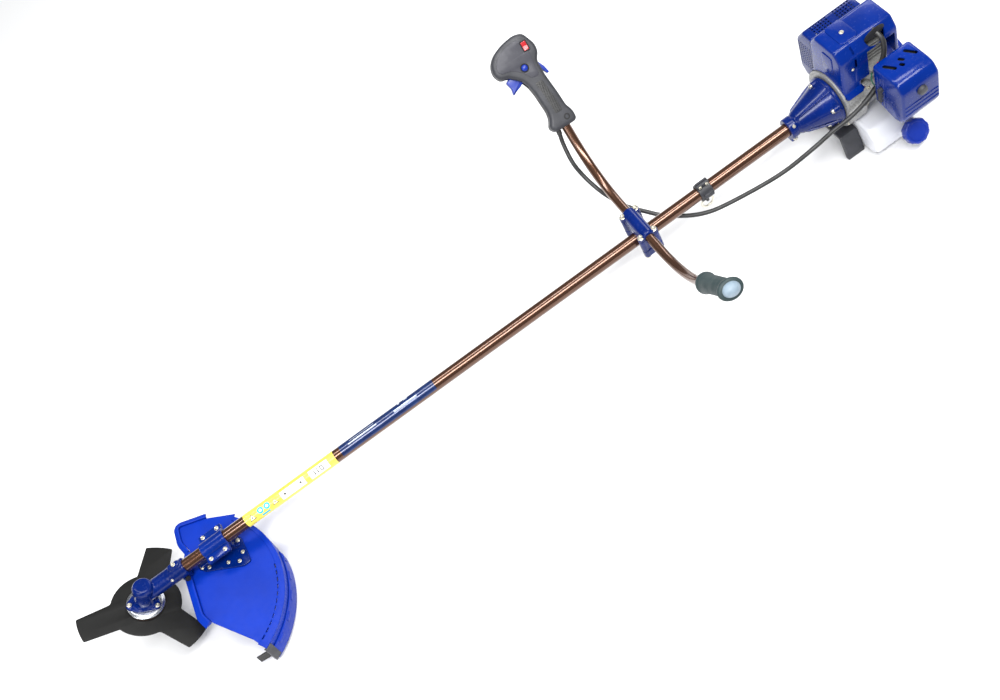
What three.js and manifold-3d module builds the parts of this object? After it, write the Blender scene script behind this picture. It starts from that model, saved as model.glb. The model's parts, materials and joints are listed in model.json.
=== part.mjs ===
// Petrol brush cutter with a straight shaft, an angled gear head, a three-tooth blade,
// a debris guard, a two-handed handlebar and an engine. Millimetres, +Z up.
//
// The model is laid out about the shaft: X runs along the tube from the gear head to the engine,
// +Y is the operator's right, and z = 0 is the tube's axis. The finished group is then moved so
// that its origin is the centre of its footprint on the ground.

import * as THREE from 'three';
import { mergeVertices } from 'three/addons/utils/BufferGeometryUtils.js';
import Module from 'manifold-3d';

// ---------------------------------------------------------------- driving dimensions

const gap = 0.3;              // between pieces that touch
const running = 0.3;          // round a shaft in its bore

const tube = { radius: 13, wall: 1.5, start: 42, end: 1520 };
const rear = tube.end;        // what hangs on the tube's rear half is placed from its end
const driveShaft = { radius: 4, start: 26, end: rear + 25 };
const bush = { length: 16, x: 620 };

const head = {
  tilt: 31, radius: 20, top: 36, floor: -18, wall: 4, capRadius: 15.5,
  neckRadius: 17.5, neckEnd: 97, flange: 4, earReach: 30,
};
const gears = { pinionTeeth: 14, gearTeeth: 19, pitchRadius: 9, face: 8, thin: 0.19 };
const output = { radius: 5, top: 31, bottom: -51 };
const bearing = { height: 8, radius: 15.5 };
const flange = { radius: 36, height: 10, pilot: 12.3 };
const blade = { radius: 127.5, disc: 66, thickness: 2, teeth: 3, toothAngle: 23, bore: 12.7, phase: 62.3 };
const washer = { radius: 28, thickness: 3 };
const nut = { across: 17, height: 8 };

const guard = {
  anchorX: 165, drop: 45, tilt: 10, plate: 3, depth: 50, rim: 3, lip: 13,
  centreX: 57, centreY: -62, radius: 190, fromAngle: -57, toAngle: 41,
};
const guardFront = [[205, 67], [152, 92], [97, 105], [93, 71], [102, 38], [89, 17], [81, -94], [89, -116],
  [145, -191]];
const skirt = { wall: 2.6, top: -16, bottom: -54, fromAngle: -56, toAngle: 4 };
const knife = { length: 34, height: 24, thickness: 2 };
const saddle = { from: 140, to: 192, wall: 3.5, ear: 15, web: 7 };
const guardBolts = [[-42, -10], [14, -30]];

const harness = { x: rear - 230, width: 26, wall: 4, lug: 15, ringRadius: 12, wire: 2.2 };

const clampX = rear - 368;
const bar = { radius: 9, wall: 1.5, height: 32, half: 67, bend: 205, bendAngle: 44, lean: 5.5,
  length: 374 };
const clamp = { halfX: 20, halfY: 39, base: 20, lugTop: 38, ridge: 5, boltX: 14.2, boltY: 30.7, bolt: 2.9 };
const gripStart = bar.length - 122;
const grip = { radius: 16, length: 118, flangeRadius: 23, flangeLength: 8 };

const shell = { half: 15, wall: 3 };
const trigger = { width: 13 };
const lock = { width: 10 };
const button = { x: 14, z: 131, radius: 6.4, proud: 4 };
const rocker = { x: -7, z: 165, length: 17, width: 10, proud: 2.5 };
const cable = { radius: 4.2 };
// The cable's way: first in the right grip's frame, then from the tube's rear end.
const cableFromGrip = [[17.27, -0.08, -2.36], [21.29, -4.2, -28.02], [23.78, -4.4, -65.75],
  [18.49, -5.4, -98.69]];
const cableFromRear = [
  [-378, 130, 17], [-365, 92, 5],
  [-352, 68, -3], [-336, 48, -10], [-313, 22, -20], [-282, -6, -24], [-252, -25, -26], [-217, -37, -26],
  [-146, -52, -22], [-90, -58, -20], [-30, -62, -8], [11, -65, 5], [50, -68, 13], [88, -65, 22],
  [125, -58, 36],
];

const clutch = { collar: rear - 43, collarRadius: 21, collarEnd: rear - 23, mouth: rear + 53,
  mouthRadius: 47,
  flangeRadius: 49 };
const drum = { radius: 34, floor: rear + 29, mouth: rear + 50, wall: 3, hub: 7 };
const rotor = { radius: 29.5, from: rear + 34, to: rear + 48 };
const fan = { from: rear + 54, to: rear + 91, radius: 60, wall: 3.5, eye: 36, window: 46 };
const flywheel = { from: rear + 62, to: rear + 86, radius: fan.radius - 9, fins: 10 };
const caseBox = { from: rear + 92, to: rear + 152, radius: 40, wall: 6, deck: 44, deckHalf: 31 };
const crank = { radius: 7, rear: rear + 179, web: 24, webGap: 14, throw: 15, pin: 6 };
const cylinder = { x: rear + 122, bore: 20, barrel: 25, top: 106, fins: 7, finHalf: 31, finThickness: 2 };
const piston = { height: 26, top: 96 };
const cowl = { from: rear + 57, to: rear + 178, wall: 2.5, drumRadius: fan.radius + 4, edge: 34, left: -46, right: 41,
  top: 144 };
const plug = { x: rear + 130, y: -6 };
const muffler = { from: rear + 98, to: rear + 160, near: 48, far: 82, low: 34, high: 94, wall: 2 };
const mufflerCover = { from: rear + 65, to: rear + 177, near: 46, far: 98, low: -8, high: 112, wall: 2.2 };
const carb = { from: rear + 128, to: rear + 154, near: -50, far: -79, low: 28, high: 68 };
const bulb = { radius: 9, reach: 10, travel: 5 };
const choke = { x: rear + 97, y: -92, z: 62, length: 28 };
const filter = { from: rear + 102, to: rear + 180, near: -69, far: -147, low: 0, high: 106, wall: 2.4,
  baseY: -84 };
const starter = { from: rear + 156, to: rear + 201, radius: 58, wall: 3, pulley: 28, pullX: rear + 186 };
const pull = { length: 56, depth: 16, width: 13 };
const tank = { from: rear + 74, to: rear + 162, left: -100, right: 76, low: -107, high: -47, round: 14 };
const cap = { x: rear + 144, y: -119, z: -73, lean: 52, radius: 25, height: 17, neck: 17 };
const stand = { from: rear + 36, to: rear + 72, half: 46, spread: 63, thick: 6 };

// The machine rests on its stand and on the lowest corner of the guard's skirt.
const guardLean = guard.tilt * Math.PI / 180;
const skirtReach = (guard.centreX + guard.radius + gap + skirt.wall - guard.anchorX) / Math.cos(guardLean);
const groundZ = -guard.drop - skirtReach * Math.sin(guardLean) + skirt.bottom * Math.cos(guardLean);

// ---------------------------------------------------------------- materials

const finish = (color, roughness, metalness = 0) =>
  new THREE.MeshStandardMaterial({ color, roughness, metalness });
const paint = finish(0x0c2a9c, 0.25);
const bluePlastic = finish(0x0a34c8, 0.45);
const bronze = finish(0x4a2414, 0.3, 0.6);
const blackSteel = finish(0x141413, 0.55, 0.3);
const steel = finish(0xb8bbbf, 0.3, 1);
const zinc = finish(0xc9c6b4, 0.35, 1);
const alloy = finish(0x8d8d88, 0.55, 0.6);
const blackPlastic = finish(0x222428, 0.6);
const rubber = finish(0x15170f, 0.8);
const red = finish(0xd01218, 0.35);
const milky = finish(0xe6e6ea, 0.4);

// ---------------------------------------------------------------- geometry helpers

const wasm = await Module();
wasm.setup();

const vec = (x, y, z) => new THREE.Vector3(x, y, z);
const rad = THREE.MathUtils.degToRad;

// A closed three.js geometry becomes a solid. Collapsed triangles at a lathe's poles are left out.
function solid(geometry) {
  const bare = geometry.clone();
  bare.deleteAttribute('normal');
  bare.deleteAttribute('uv');
  const merged = mergeVertices(bare, 1e-3);
  const index = merged.index.array;
  const position = merged.attributes.position;
  const kept = [];
  let volume = 0;
  const [a, b, c] = [vec(), vec(), vec()];
  for (let i = 0; i < index.length; i += 3) {
    const [p, q, r] = [index[i], index[i + 1], index[i + 2]];
    if (p === q || q === r || r === p) continue;
    kept.push(p, q, r);
    volume += a.fromBufferAttribute(position, p).dot(b.fromBufferAttribute(position, q)
      .cross(c.fromBufferAttribute(position, r)));
  }
  if (volume < 0) kept.reverse();
  const vertProperties = new Float32Array(position.array);
  return new wasm.Manifold(new wasm.Mesh({ numProp: 3, vertProperties, triVerts: new Uint32Array(kept) }));
}

function geometryOf(shape) {
  const mesh = shape.getMesh();
  const geometry = new THREE.BufferGeometry();
  geometry.setAttribute('position', new THREE.BufferAttribute(new Float32Array(mesh.vertProperties), 3));
  geometry.setIndex(new THREE.BufferAttribute(new Uint32Array(mesh.triVerts), 1));
  const flat = geometry.toNonIndexed();
  flat.computeVertexNormals();
  return flat;
}

const join = (first, ...rest) => rest.reduce((sum, next) => sum.add(next), first);
const cut = (first, ...rest) => rest.reduce((sum, next) => sum.subtract(next), first);

function block(x0, x1, y0, y1, z0, z1) {
  const box = new THREE.BoxGeometry(x1 - x0, y1 - y0, z1 - z0);
  return solid(box.translate((x0 + x1) / 2, (y0 + y1) / 2, (z0 + z1) / 2));
}

// A round bar, or a cone, between two points.
function rod(from, to, radius, sides = 20, endRadius = radius) {
  const along = to.clone().sub(from);
  const geometry = new THREE.CylinderGeometry(endRadius, radius, along.length(), sides);
  const turn = new THREE.Quaternion().setFromUnitVectors(vec(0, 1, 0), along.clone().normalize());
  const middle = from.clone().add(to).multiplyScalar(0.5);
  return solid(geometry.applyQuaternion(turn).translate(middle.x, middle.y, middle.z));
}

const rodX = (x0, x1, radius, sides) => rod(vec(x0, 0, 0), vec(x1, 0, 0), radius, sides);
const rodZ = (x, y, z0, z1, radius, sides) => rod(vec(x, y, z0), vec(x, y, z1), radius, sides);

// A turned shape. The profile is a list of [radius, place along the axis].
function turned(profile, axis, sides = 20) {
  const points = profile.map(([r, along]) => new THREE.Vector2(r, along));
  const geometry = new THREE.LatheGeometry(points, sides);
  if (axis === 'x') geometry.rotateZ(-Math.PI / 2);
  if (axis === 'z') geometry.rotateX(Math.PI / 2);
  return solid(geometry);
}

// A ring about an axis: a closed rectangular profile.
const ring = (axis, inner, outer, from, to, sides) =>
  turned([[inner, from], [outer, from], [outer, to], [inner, to], [inner, from]], axis, sides);

function shapeOf(points) {
  return new THREE.Shape(points.map(([x, y]) => new THREE.Vector2(x, y)));
}

function plate(shape, z0, z1, bevel = 0) {
  const geometry = new THREE.ExtrudeGeometry(shape, {
    depth: z1 - z0 - 2 * bevel, steps: 1, curveSegments: 8, bevelEnabled: bevel > 0,
    bevelSize: bevel, bevelThickness: bevel, bevelOffset: -bevel, bevelSegments: 1,
  });
  return geometry.translate(0, 0, z0 + bevel);
}

// A flat outline in (y, z), carried along X.
function profileX(points, x0, x1, bevel = 0) {
  const geometry = plate(shapeOf(points), 0, x1 - x0, bevel);
  const basis = new THREE.Matrix4().makeBasis(vec(0, 1, 0), vec(0, 0, 1), vec(1, 0, 0));
  return solid(geometry.applyMatrix4(basis).translate(x0, 0, 0));
}

// A flat outline in (x, z), carried along Y.
function profileY(points, y0, y1, bevel = 0) {
  const geometry = plate(shapeOf(points), 0, y1 - y0, bevel);
  const basis = new THREE.Matrix4().makeBasis(vec(1, 0, 0), vec(0, 0, 1), vec(0, -1, 0));
  return solid(geometry.applyMatrix4(basis).translate(0, y1, 0));
}

// A wall of even thickness that follows a polyline seen from above.
function ribbon(points, thickness, z0, z1) {
  const side = (i, sign) => {
    const before = points[Math.max(i - 1, 0)];
    const after = points[Math.min(i + 1, points.length - 1)];
    const length = Math.hypot(after[0] - before[0], after[1] - before[1]);
    const [nx, ny] = [-(after[1] - before[1]) / length, (after[0] - before[0]) / length];
    return [points[i][0] + sign * nx * thickness / 2, points[i][1] + sign * ny * thickness / 2];
  };
  const left = points.map((_, i) => side(i, 1));
  const right = points.map((_, i) => side(i, -1)).reverse();
  return solid(plate(shapeOf([...left, ...right]), z0, z1));
}

const circle = (radius, x = 0, y = 0) => {
  const path = new THREE.Path();
  path.absarc(x, y, radius, 0, 2 * Math.PI, false);
  return path;
};

const polar = (cx, cy, radius, degrees) => [cx + radius * Math.cos(rad(degrees)),
  cy + radius * Math.sin(rad(degrees))];

const arc = (cx, cy, radius, from, to, steps) =>
  Array.from({ length: steps + 1 }, (_, i) => polar(cx, cy, radius, from + (to - from) * i / steps));

const hexagon = (x, y, z0, z1, across) => rodZ(x, y, z0, z1, across / Math.sqrt(3), 6);

// ---------------------------------------------------------------- the assembly and its frames

const group = new THREE.Group();
const headFrame = new THREE.Group();
headFrame.rotation.y = rad(head.tilt);
const guardFrame = new THREE.Group();
guardFrame.position.set(guard.anchorX, 0, -guard.drop);
guardFrame.rotation.y = rad(guard.tilt);
group.add(headFrame, guardFrame);

function piece(name, shape, material, parent = group) {
  const mesh = new THREE.Mesh(geometryOf(shape), material);
  mesh.name = name;
  parent.add(mesh);
  return mesh;
}

const moved = (shape, frame) => {
  frame.updateMatrix();
  return shape.transform(frame.matrix.elements);
};

// ---------------------------------------------------------------- shaft

const tubeInner = tube.radius - tube.wall;
piece('shaft_tube', ring('x', tubeInner, tube.radius, tube.start, tube.end, 24), bronze);
piece('drive_shaft', rodX(driveShaft.start, driveShaft.end, driveShaft.radius, 12), steel);
piece('shaft_bush', ring('x', driveShaft.radius + running, tubeInner - gap, bush.x, bush.x + bush.length,
  16), rubber);

// ---------------------------------------------------------------- gear head

// Straight bevel gears that share the point where the two axes cross. Each is a toothed outline,
// scaled in proportion to its distance from that point.
const shaftAngle = rad(90 - head.tilt);
const toothRatio = gears.gearTeeth / gears.pinionTeeth;
const pinionCone = Math.atan(Math.sin(shaftAngle) / (toothRatio + Math.cos(shaftAngle)));
const gearCone = shaftAngle - pinionCone;
const coneDistance = gears.pitchRadius / Math.sin(pinionCone);

function bevelGear(teeth, coneAngle, phase) {
  const outer = coneDistance * Math.cos(coneAngle);
  const scale = (coneDistance - gears.face) / coneDistance;
  const radius = coneDistance * Math.sin(coneAngle);
  const module_ = 2 * radius / teeth;
  const pitch = 2 * Math.PI / teeth;
  const corners = [[-0.32, -1.15], [-gears.thin - 0.04, -0.1], [-0.09, 0.75], [0.09, 0.75],
    [gears.thin + 0.04, -0.1], [0.32, -1.15]];
  const outline = [];
  for (let tooth = 0; tooth < teeth; tooth += 1) {
    for (const [share, height] of corners) {
      const angle = phase + (tooth + share) * pitch;
      const r = radius + height * module_;
      outline.push([r * Math.cos(angle), r * Math.sin(angle)]);
    }
  }
  const geometry = plate(shapeOf(outline), outer * scale, outer);
  const position = geometry.attributes.position;
  for (let i = 0; i < position.count; i += 1) {
    const share = position.getZ(i) / outer;
    position.setXY(i, position.getX(i) * share, position.getY(i) * share);
  }
  return { geometry, outer };
}

const pinion = bevelGear(gears.pinionTeeth, pinionCone, Math.PI);
const pinionTurn = new THREE.Matrix4().makeBasis(vec(0, 0, -1), vec(0, 1, 0), vec(1, 0, 0));
const pinionBoss = { radius: 6.5, end: 38 };
piece('pinion_gear', cut(
  join(solid(pinion.geometry.applyMatrix4(pinionTurn)),
    rodX(pinion.outer - 0.5, pinionBoss.end, pinionBoss.radius)),
  rodX(driveShaft.start - gap, pinionBoss.end + 1, driveShaft.radius + running, 12),
), steel);

const wheel = bevelGear(gears.gearTeeth, gearCone, Math.PI / gears.gearTeeth);
piece('output_gear', cut(
  join(solid(wheel.geometry), rodZ(0, 0, wheel.outer - 0.5, wheel.outer + 3, 8.5)),
  rodZ(0, 0, 0, wheel.outer + 4, output.radius + running, 16),
), steel, headFrame);
const lowerBearing = ring('z', output.radius + running, bearing.radius, head.floor,
  head.floor + bearing.height);
piece('lower_bearing', lowerBearing, steel, headFrame);

const headBore = bearing.radius + gap;
const ears = [[-head.earReach, 0], [18, 21], [18, -21]];
const baseOutline = shapeOf([[-head.earReach - 6, -5], [-head.earReach - 6, 5], [-18, 20], [18, 27],
  [24, 20],
  [24, -20], [18, -27], [-18, -20]]);
const headBottom = head.floor - head.flange;
const headShell = join(
  turned([[0, headBottom], [head.radius + 3, headBottom], [head.radius + 3, head.floor],
    [head.radius, head.floor + 4],
    [head.radius, head.top - 7], [head.capRadius, head.top], [0, head.top]], 'z', 24),
  solid(plate(baseOutline, headBottom, head.floor)),
);
const neck = turned([[0, 2], [head.neckRadius, 2], [head.neckRadius, head.neckEnd - 2],
  [head.neckRadius - 1.5, head.neckEnd], [0, head.neckEnd]], 'x', 24);
const pinch = { x: 84, z: -19, halfY: 12, radius: 2.6, head: 5 };
const pinchLug = block(pinch.x - 9, head.neckEnd - 1, -pinch.halfY, pinch.halfY, pinch.z - 6, 0);
piece('gear_case', cut(
  join(moved(headShell, headFrame), neck, pinchLug),
  moved(rodZ(0, 0, headBottom - 1, head.top - head.wall, headBore, 20), headFrame),
  rodX(0, tube.start, tube.radius + gap, 24),
  rodX(tube.start - 1, head.neckEnd + 1, tube.radius + gap, 24),
  block(58, head.neckEnd + 1, -1, 1, -40, 0),
  rod(vec(pinch.x, -30, pinch.z), vec(pinch.x, 30, pinch.z), pinch.radius + gap, 12),
), paint);
piece('neck_bolt', join(
  rod(vec(pinch.x, -pinch.halfY - gap - 1, pinch.z), vec(pinch.x, pinch.halfY + 5, pinch.z), pinch.radius,
    12),
  rod(vec(pinch.x, -pinch.halfY - gap - 5, pinch.z), vec(pinch.x, -pinch.halfY - gap, pinch.z),
    pinch.head, 12),
), blackSteel);

// ---------------------------------------------------------------- blade and its clamp

const flangeTop = headBottom - gap;
const flangeBottom = flangeTop - flange.height;
const bladeTop = flangeBottom - gap;
const bladeBottom = bladeTop - blade.thickness;
const washerTop = bladeBottom - gap;
const washerBottom = washerTop - washer.thickness;
const nutTop = washerBottom - gap;
const shaftClear = output.radius + running;

piece('output_shaft', turned([[0, output.bottom], [output.radius - 0.8, output.bottom],
  [output.radius, output.bottom + 1],
  [output.radius, output.top], [0, output.top]], 'z', 16), steel, headFrame);
piece('blade_flange', turned([[shaftClear, flangeTop], [flange.radius - 3, flangeTop],
  [flange.radius, flangeTop - 3],
  [flange.radius, flangeBottom], [flange.radius - 4, flangeBottom], [flange.radius - 6, flangeBottom + 3],
  [flange.pilot + 6, flangeBottom + 3], [flange.pilot + 4, flangeBottom], [flange.pilot, flangeBottom],
  [flange.pilot, bladeBottom + gap], [shaftClear, bladeBottom + gap], [shaftClear, flangeTop]], 'z', 24),
steel, headFrame);

function bladeOutline() {
  const points = [];
  const half = blade.toothAngle / 2;
  const rootHalf = 26;
  for (let i = 0; i < blade.teeth; i += 1) {
    const middle = blade.phase + i * 360 / blade.teeth;
    points.push(polar(0, 0, blade.disc, middle - rootHalf));
    points.push(...arc(0, 0, blade.radius, middle - half, middle + half, 3));
    points.push(...arc(0, 0, blade.disc, middle + rootHalf, middle + 360 / blade.teeth - rootHalf - 8, 4));
  }
  return points;
}
const bladeShape = shapeOf(bladeOutline());
bladeShape.holes.push(circle(blade.bore));
piece('blade', solid(plate(bladeShape, bladeBottom, bladeTop)), blackSteel, headFrame);
piece('blade_washer', ring('z', shaftClear, washer.radius, washerBottom, washerTop), steel, headFrame);
piece('blade_nut', cut(
  hexagon(0, 0, nutTop - nut.height, nutTop, nut.across),
  rodZ(0, 0, nutTop - nut.height - 1, nutTop + 1, shaftClear, 16),
), zinc, headFrame);

// ---------------------------------------------------------------- debris guard

const guardX = (x) => (x - guard.anchorX) / Math.cos(rad(guard.tilt));
const guardPoints = (points) => points.map(([x, y]) => [guardX(x), y]);
const rimArc = (radius, from, to, steps) =>
  guardPoints(arc(guard.centreX, guard.centreY, radius, from, to, steps));
const rimSpot = (radius, degrees) => guardPoints([polar(guard.centreX, guard.centreY, radius, degrees)])[0];
const frontEdge = guardPoints(guardFront);
const guardShape = shapeOf([...rimArc(guard.radius, guard.fromAngle, guard.toAngle, 20), ...frontEdge]);
guardBolts.forEach(([x, y]) => guardShape.holes.push(circle(3.3, x, y)));
const rimMiddle = guard.radius - guard.rim / 2;
const lipEdge = [...frontEdge.slice(1)].map(([x, y]) => [x + 1.6, y]);
piece('debris_guard', join(
  solid(plate(guardShape, -guard.plate, 0)),
  ribbon(rimArc(rimMiddle, guard.fromAngle, guard.toAngle, 20), guard.rim, -guard.depth, -0.5),
  ribbon(lipEdge, 3, -guard.lip, -0.5),
), bluePlastic, guardFrame);

const skirtMiddle = guard.radius + gap + skirt.wall / 2;
const skirtBand = ribbon(rimArc(skirtMiddle, skirt.fromAngle, skirt.toAngle, 14), skirt.wall,
  skirt.bottom, skirt.top);
const skirtSlots = [-48, -36, -24, -12].map((angle) => {
  const [x, y] = rimSpot(skirtMiddle, angle);
  return rodZ(x, y, skirt.top - 10, skirt.top + 1, 4, 8);
});
piece('guard_skirt', cut(skirtBand, ...skirtSlots), bluePlastic, guardFrame);

const knifeFoot = rimSpot(guard.radius - guard.rim - gap - knife.thickness / 2, guard.fromAngle + 3);
const knifeBlade = new THREE.Group();
knifeBlade.position.set(knifeFoot[0], knifeFoot[1], 0);
const knifePlate = block(-knife.length, 0, -knife.thickness / 2, knife.thickness / 2, -guard.depth,
  -guard.depth + knife.height);
piece('line_cutter', moved(knifePlate, knifeBlade), blackSteel, guardFrame);

// The saddle's two halves hold the tube, and the lower one stands on the guard's plate.
const saddleOuter = tube.radius + gap + saddle.wall;
const earEnd = saddleOuter + saddle.ear;
const saddleBore = rodX(saddle.from - 1, saddle.to + 1, tube.radius + gap, 24);
const saddleRound = rodX(saddle.from, saddle.to, saddleOuter, 24);
const above = (z) => block(0, 2000, -400, 400, z, 400);
piece('guard_saddle', join(saddleRound, block(saddle.from, saddle.to, -earEnd, earEnd, gap / 2,
  saddle.wall))
  .subtract(saddleBore).intersect(above(gap / 2)), paint);
const footShape = shapeOf([[-62, -4], [-62, 12], [24, 24], [34, 10], [34, -46], [18, -48], [-52, -16]]);
guardBolts.forEach(([x, y]) => footShape.holes.push(circle(3.3, x, y)));
const saddleLower = join(saddleRound, block(saddle.from, saddle.to, -earEnd, earEnd, -saddle.wall,
  -gap / 2))
  .subtract(saddleBore).subtract(above(-gap / 2));
const saddleWeb = block(saddle.from + 8, saddle.to - 6, -saddle.web, saddle.web, -guard.drop - 8,
  -tube.radius - 2);
const footClear = moved(block(-200, 200, -200, 200, -60, gap), guardFrame);
piece('guard_bracket', join(saddleLower, saddleWeb)
  .subtract(footClear)
  .add(moved(solid(plate(footShape, gap, 3 + gap)), guardFrame)), paint);

// ---------------------------------------------------------------- harness clamp and ring

const harnessOuter = tube.radius + gap + harness.wall;
const lugZ = -harnessOuter - harness.lug / 2;
piece('harness_clamp', cut(
  join(
    rodX(harness.x - harness.width / 2, harness.x + harness.width / 2, harnessOuter, 24),
    block(harness.x - 2.5, harness.x + 2.5, -7, 7, -harnessOuter - harness.lug, -tube.radius - 2),
    block(harness.x - harness.width / 2, harness.x + harness.width / 2, -5, 5, tube.radius + 2,
      harnessOuter + 8),
  ),
  rodX(harness.x - 60, harness.x + 60, tube.radius + gap, 24),
  block(harness.x - 60, harness.x + 60, -0.8, 0.8, 0, 60),
  rod(vec(harness.x - 9, 0, lugZ), vec(harness.x + 9, 0, lugZ), 3.6, 12),
), blackPlastic);
const hoop = new THREE.TorusGeometry(harness.ringRadius, harness.wire, 6, 16);
hoop.rotateX(Math.PI / 2).translate(harness.x, 0, lugZ - harness.ringRadius);
piece('harness_ring', solid(hoop), steel);

// ---------------------------------------------------------------- handlebar and its clamp

// The bar lies in a plane that leans back from upright: straight in the clamp, then one bend
// each side, then straight to the grips.
function barPoint(reach) {
  const side = Math.sign(reach) || 1;
  const s = Math.abs(reach);
  const bendEnd = bar.half + bar.bend * rad(bar.bendAngle);
  const turn = Math.min(Math.max(s - bar.half, 0) / bar.bend, rad(bar.bendAngle));
  const past = Math.max(s - bendEnd, 0);
  const across = Math.min(s, bar.half) + bar.bend * Math.sin(turn) + past * Math.cos(turn);
  const rise = bar.bend * (1 - Math.cos(turn)) + past * Math.sin(turn);
  const lean = rad(bar.lean);
  return vec(clampX + rise * Math.sin(lean), side * across, bar.height + rise * Math.cos(lean));
}
class BarCurve extends THREE.Curve {
  getPoint(t, target = new THREE.Vector3()) {
    return target.copy(barPoint((2 * t - 1) * bar.length));
  }
}
const roundShape = (radius, sides, hole = 0) => {
  const shape = shapeOf(arc(0, 0, radius, 0, 360 - 360 / sides, sides - 1));
  if (hole) shape.holes.push(new THREE.Path(arc(0, 0, hole, 0, 360 - 360 / sides, sides - 1)
    .map(([x, y]) => new THREE.Vector2(x, y))));
  return shape;
};
const alongCurve = (shape, curve, steps) =>
  solid(new THREE.ExtrudeGeometry(shape, { steps, extrudePath: curve }));
piece('handlebar', alongCurve(roundShape(bar.radius, 12, bar.radius - bar.wall), new BarCurve(), 22),
  bronze);

const clampFrom = clampX - clamp.halfX;
const clampTo = clampX + clamp.halfX;
const corners = [[1, 1], [1, -1], [-1, 1], [-1, -1]];
const boltSpots = corners.map(([x, y]) => [clampX + x * clamp.boltX, y * clamp.boltY]);
const boltHoles = boltSpots.map(([x, y]) => rodZ(x, y, -60, 90, clamp.bolt + gap, 10));
const tubeBore = rodX(clampFrom - 5, clampTo + 5, tube.radius + gap, 24);
const barBore = rod(vec(clampX, -60, bar.height), vec(clampX, 60, bar.height), bar.radius + gap, 20);
const clampOutline = (inset) => shapeOf([
  [clampFrom + inset, -clamp.halfY + 7], [clampFrom + 6, -clamp.halfY], [clampTo - 6, -clamp.halfY],
  [clampTo - inset, -clamp.halfY + 7], [clampTo - inset, clamp.halfY - 7], [clampTo - 6, clamp.halfY],
  [clampFrom + 6, clamp.halfY], [clampFrom + inset, clamp.halfY - 7]]);
piece('clamp_base', cut(solid(plate(clampOutline(0), -clamp.base, -gap / 2, 1)), tubeBore, ...boltHoles),
  paint);
piece('clamp_middle', cut(solid(plate(clampOutline(0), gap / 2, bar.height - gap / 2, 1)), tubeBore,
  barBore, ...boltHoles), paint);
const ridge = rod(vec(clampX, -clamp.halfY + 3, bar.height), vec(clampX, clamp.halfY - 3, bar.height),
  bar.radius + clamp.ridge, 24);
const headRooms = boltSpots.map(([x, y]) => rodZ(x, y, clamp.lugTop, 90, 5 + gap, 12));
piece('clamp_cap', cut(
  join(solid(plate(clampOutline(0), bar.height + gap / 2, clamp.lugTop, 1)), ridge),
  barBore, block(clampFrom - 9, clampTo + 9, -90, 90, 0, bar.height + gap / 2), ...boltHoles, ...headRooms,
), paint);
boltSpots.forEach(([x, y], i) => {
  const bolt = join(rodZ(x, y, -clamp.base - 6, clamp.lugTop + 4, clamp.bolt, 10),
    rodZ(x, y, clamp.lugTop + gap, clamp.lugTop + 5, 5, 12),
    hexagon(x, y, -clamp.base - 5.5, -clamp.base - gap, 9.5));
  piece(`clamp_bolt_${i + 1}`, bolt, zinc);
});

// ---------------------------------------------------------------- grip frames

// A frame at the start of a grip: z runs out along the bar, x points forward, away from the operator.
function gripFrame(side) {
  const start = barPoint(side * gripStart);
  const along = barPoint(side * (gripStart + 50)).sub(start).normalize();
  const forward = vec(-Math.cos(rad(bar.lean)), 0, Math.sin(rad(bar.lean)));
  const frame = new THREE.Group();
  const basis = new THREE.Matrix4().makeBasis(forward, along.clone().cross(forward), along);
  frame.applyMatrix4(basis.setPosition(start));
  group.add(frame);
  return frame;
}
const leftFrame = gripFrame(-1);
const rightFrame = gripFrame(1);
const barSide = bar.radius + gap;

piece('left_grip', turned([[barSide, 0], [grip.radius + 2, 0], [grip.radius, 6],
  [grip.radius, grip.length - grip.flangeLength - 6],
  [grip.flangeRadius, grip.length - grip.flangeLength], [grip.flangeRadius, grip.length],
    [grip.radius - 4, grip.length + 12],
  [0, grip.length + 12], [0, bar.length - gripStart + gap], [barSide, bar.length - gripStart + gap],
    [barSide, 0]], 'z', 24),
rubber, leftFrame);

// ---------------------------------------------------------------- control handle

const handleOutline = [[-24, 0], [24, 0], [31, 12], [22, 26], [19, 40], [21, 80], [24, 98], [30, 112],
  [50, 131],
  [63, 133], [70, 148], [66, 166], [52, 180], [30, 189], [2, 193], [-16, 188], [-27, 160], [-25, 144],
    [-15, 132],
  [-14, 104], [-18, 60], [-19, 34], [-25, 20]];
const plateY = (shape, y0, y1, bevel) => {
  const basis = new THREE.Matrix4().makeBasis(vec(1, 0, 0), vec(0, 0, 1), vec(0, -1, 0));
  return solid(plate(shape, 0, y1 - y0, bevel).applyMatrix4(basis).translate(0, y1, 0));
};
const pocket = (points, half) => plateY(shapeOf(points), -half, half);
const barHole = rodZ(0, 0, -5, bar.length - gripStart + 1, barSide, 20);
const triggerPocket = pocket([[4, 93], [4, 134], [42, 140], [66, 131], [66, 96], [60, 60], [12, 84]],
  trigger.width / 2 + 1);
const lockPocket = pocket([[-40, 92], [-40, 136], [-3, 138], [-3, 128], [-10.5, 127], [-10.5, 92]],
  lock.width / 2 + 1);
const headCavity = pocket([[-10, 148], [6, 180], [30, 180], [56, 160], [56, 144], [14, 144]], 7);
const buttonWell = rod(vec(button.x, shell.half - 8, button.z), vec(button.x, shell.half + 9, button.z),
  button.radius + gap, 20);
const rockerWell = block(rocker.x - rocker.width / 2 - 0.5, rocker.x + rocker.width / 2 + 0.5,
  shell.half - 8, shell.half + 9,
  rocker.z - rocker.length / 2 - 0.5, rocker.z + rocker.length / 2 + 0.5);
const cableWell = rod(vec(17, 0, -5), vec(17, 0, 14), cable.radius + 0.4, 12);
const handleBody = cut(
  plateY(shapeOf(handleOutline), -shell.half, shell.half, shell.wall),
  barHole, triggerPocket, lockPocket, headCavity, buttonWell, rockerWell, cableWell,
);
const handSide = (y0, y1) => block(-90, 110, y0, y1, -20, 240);
piece('handle_shell_outer', handleBody.intersect(handSide(-40, -gap / 2)), blackPlastic, rightFrame);
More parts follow.
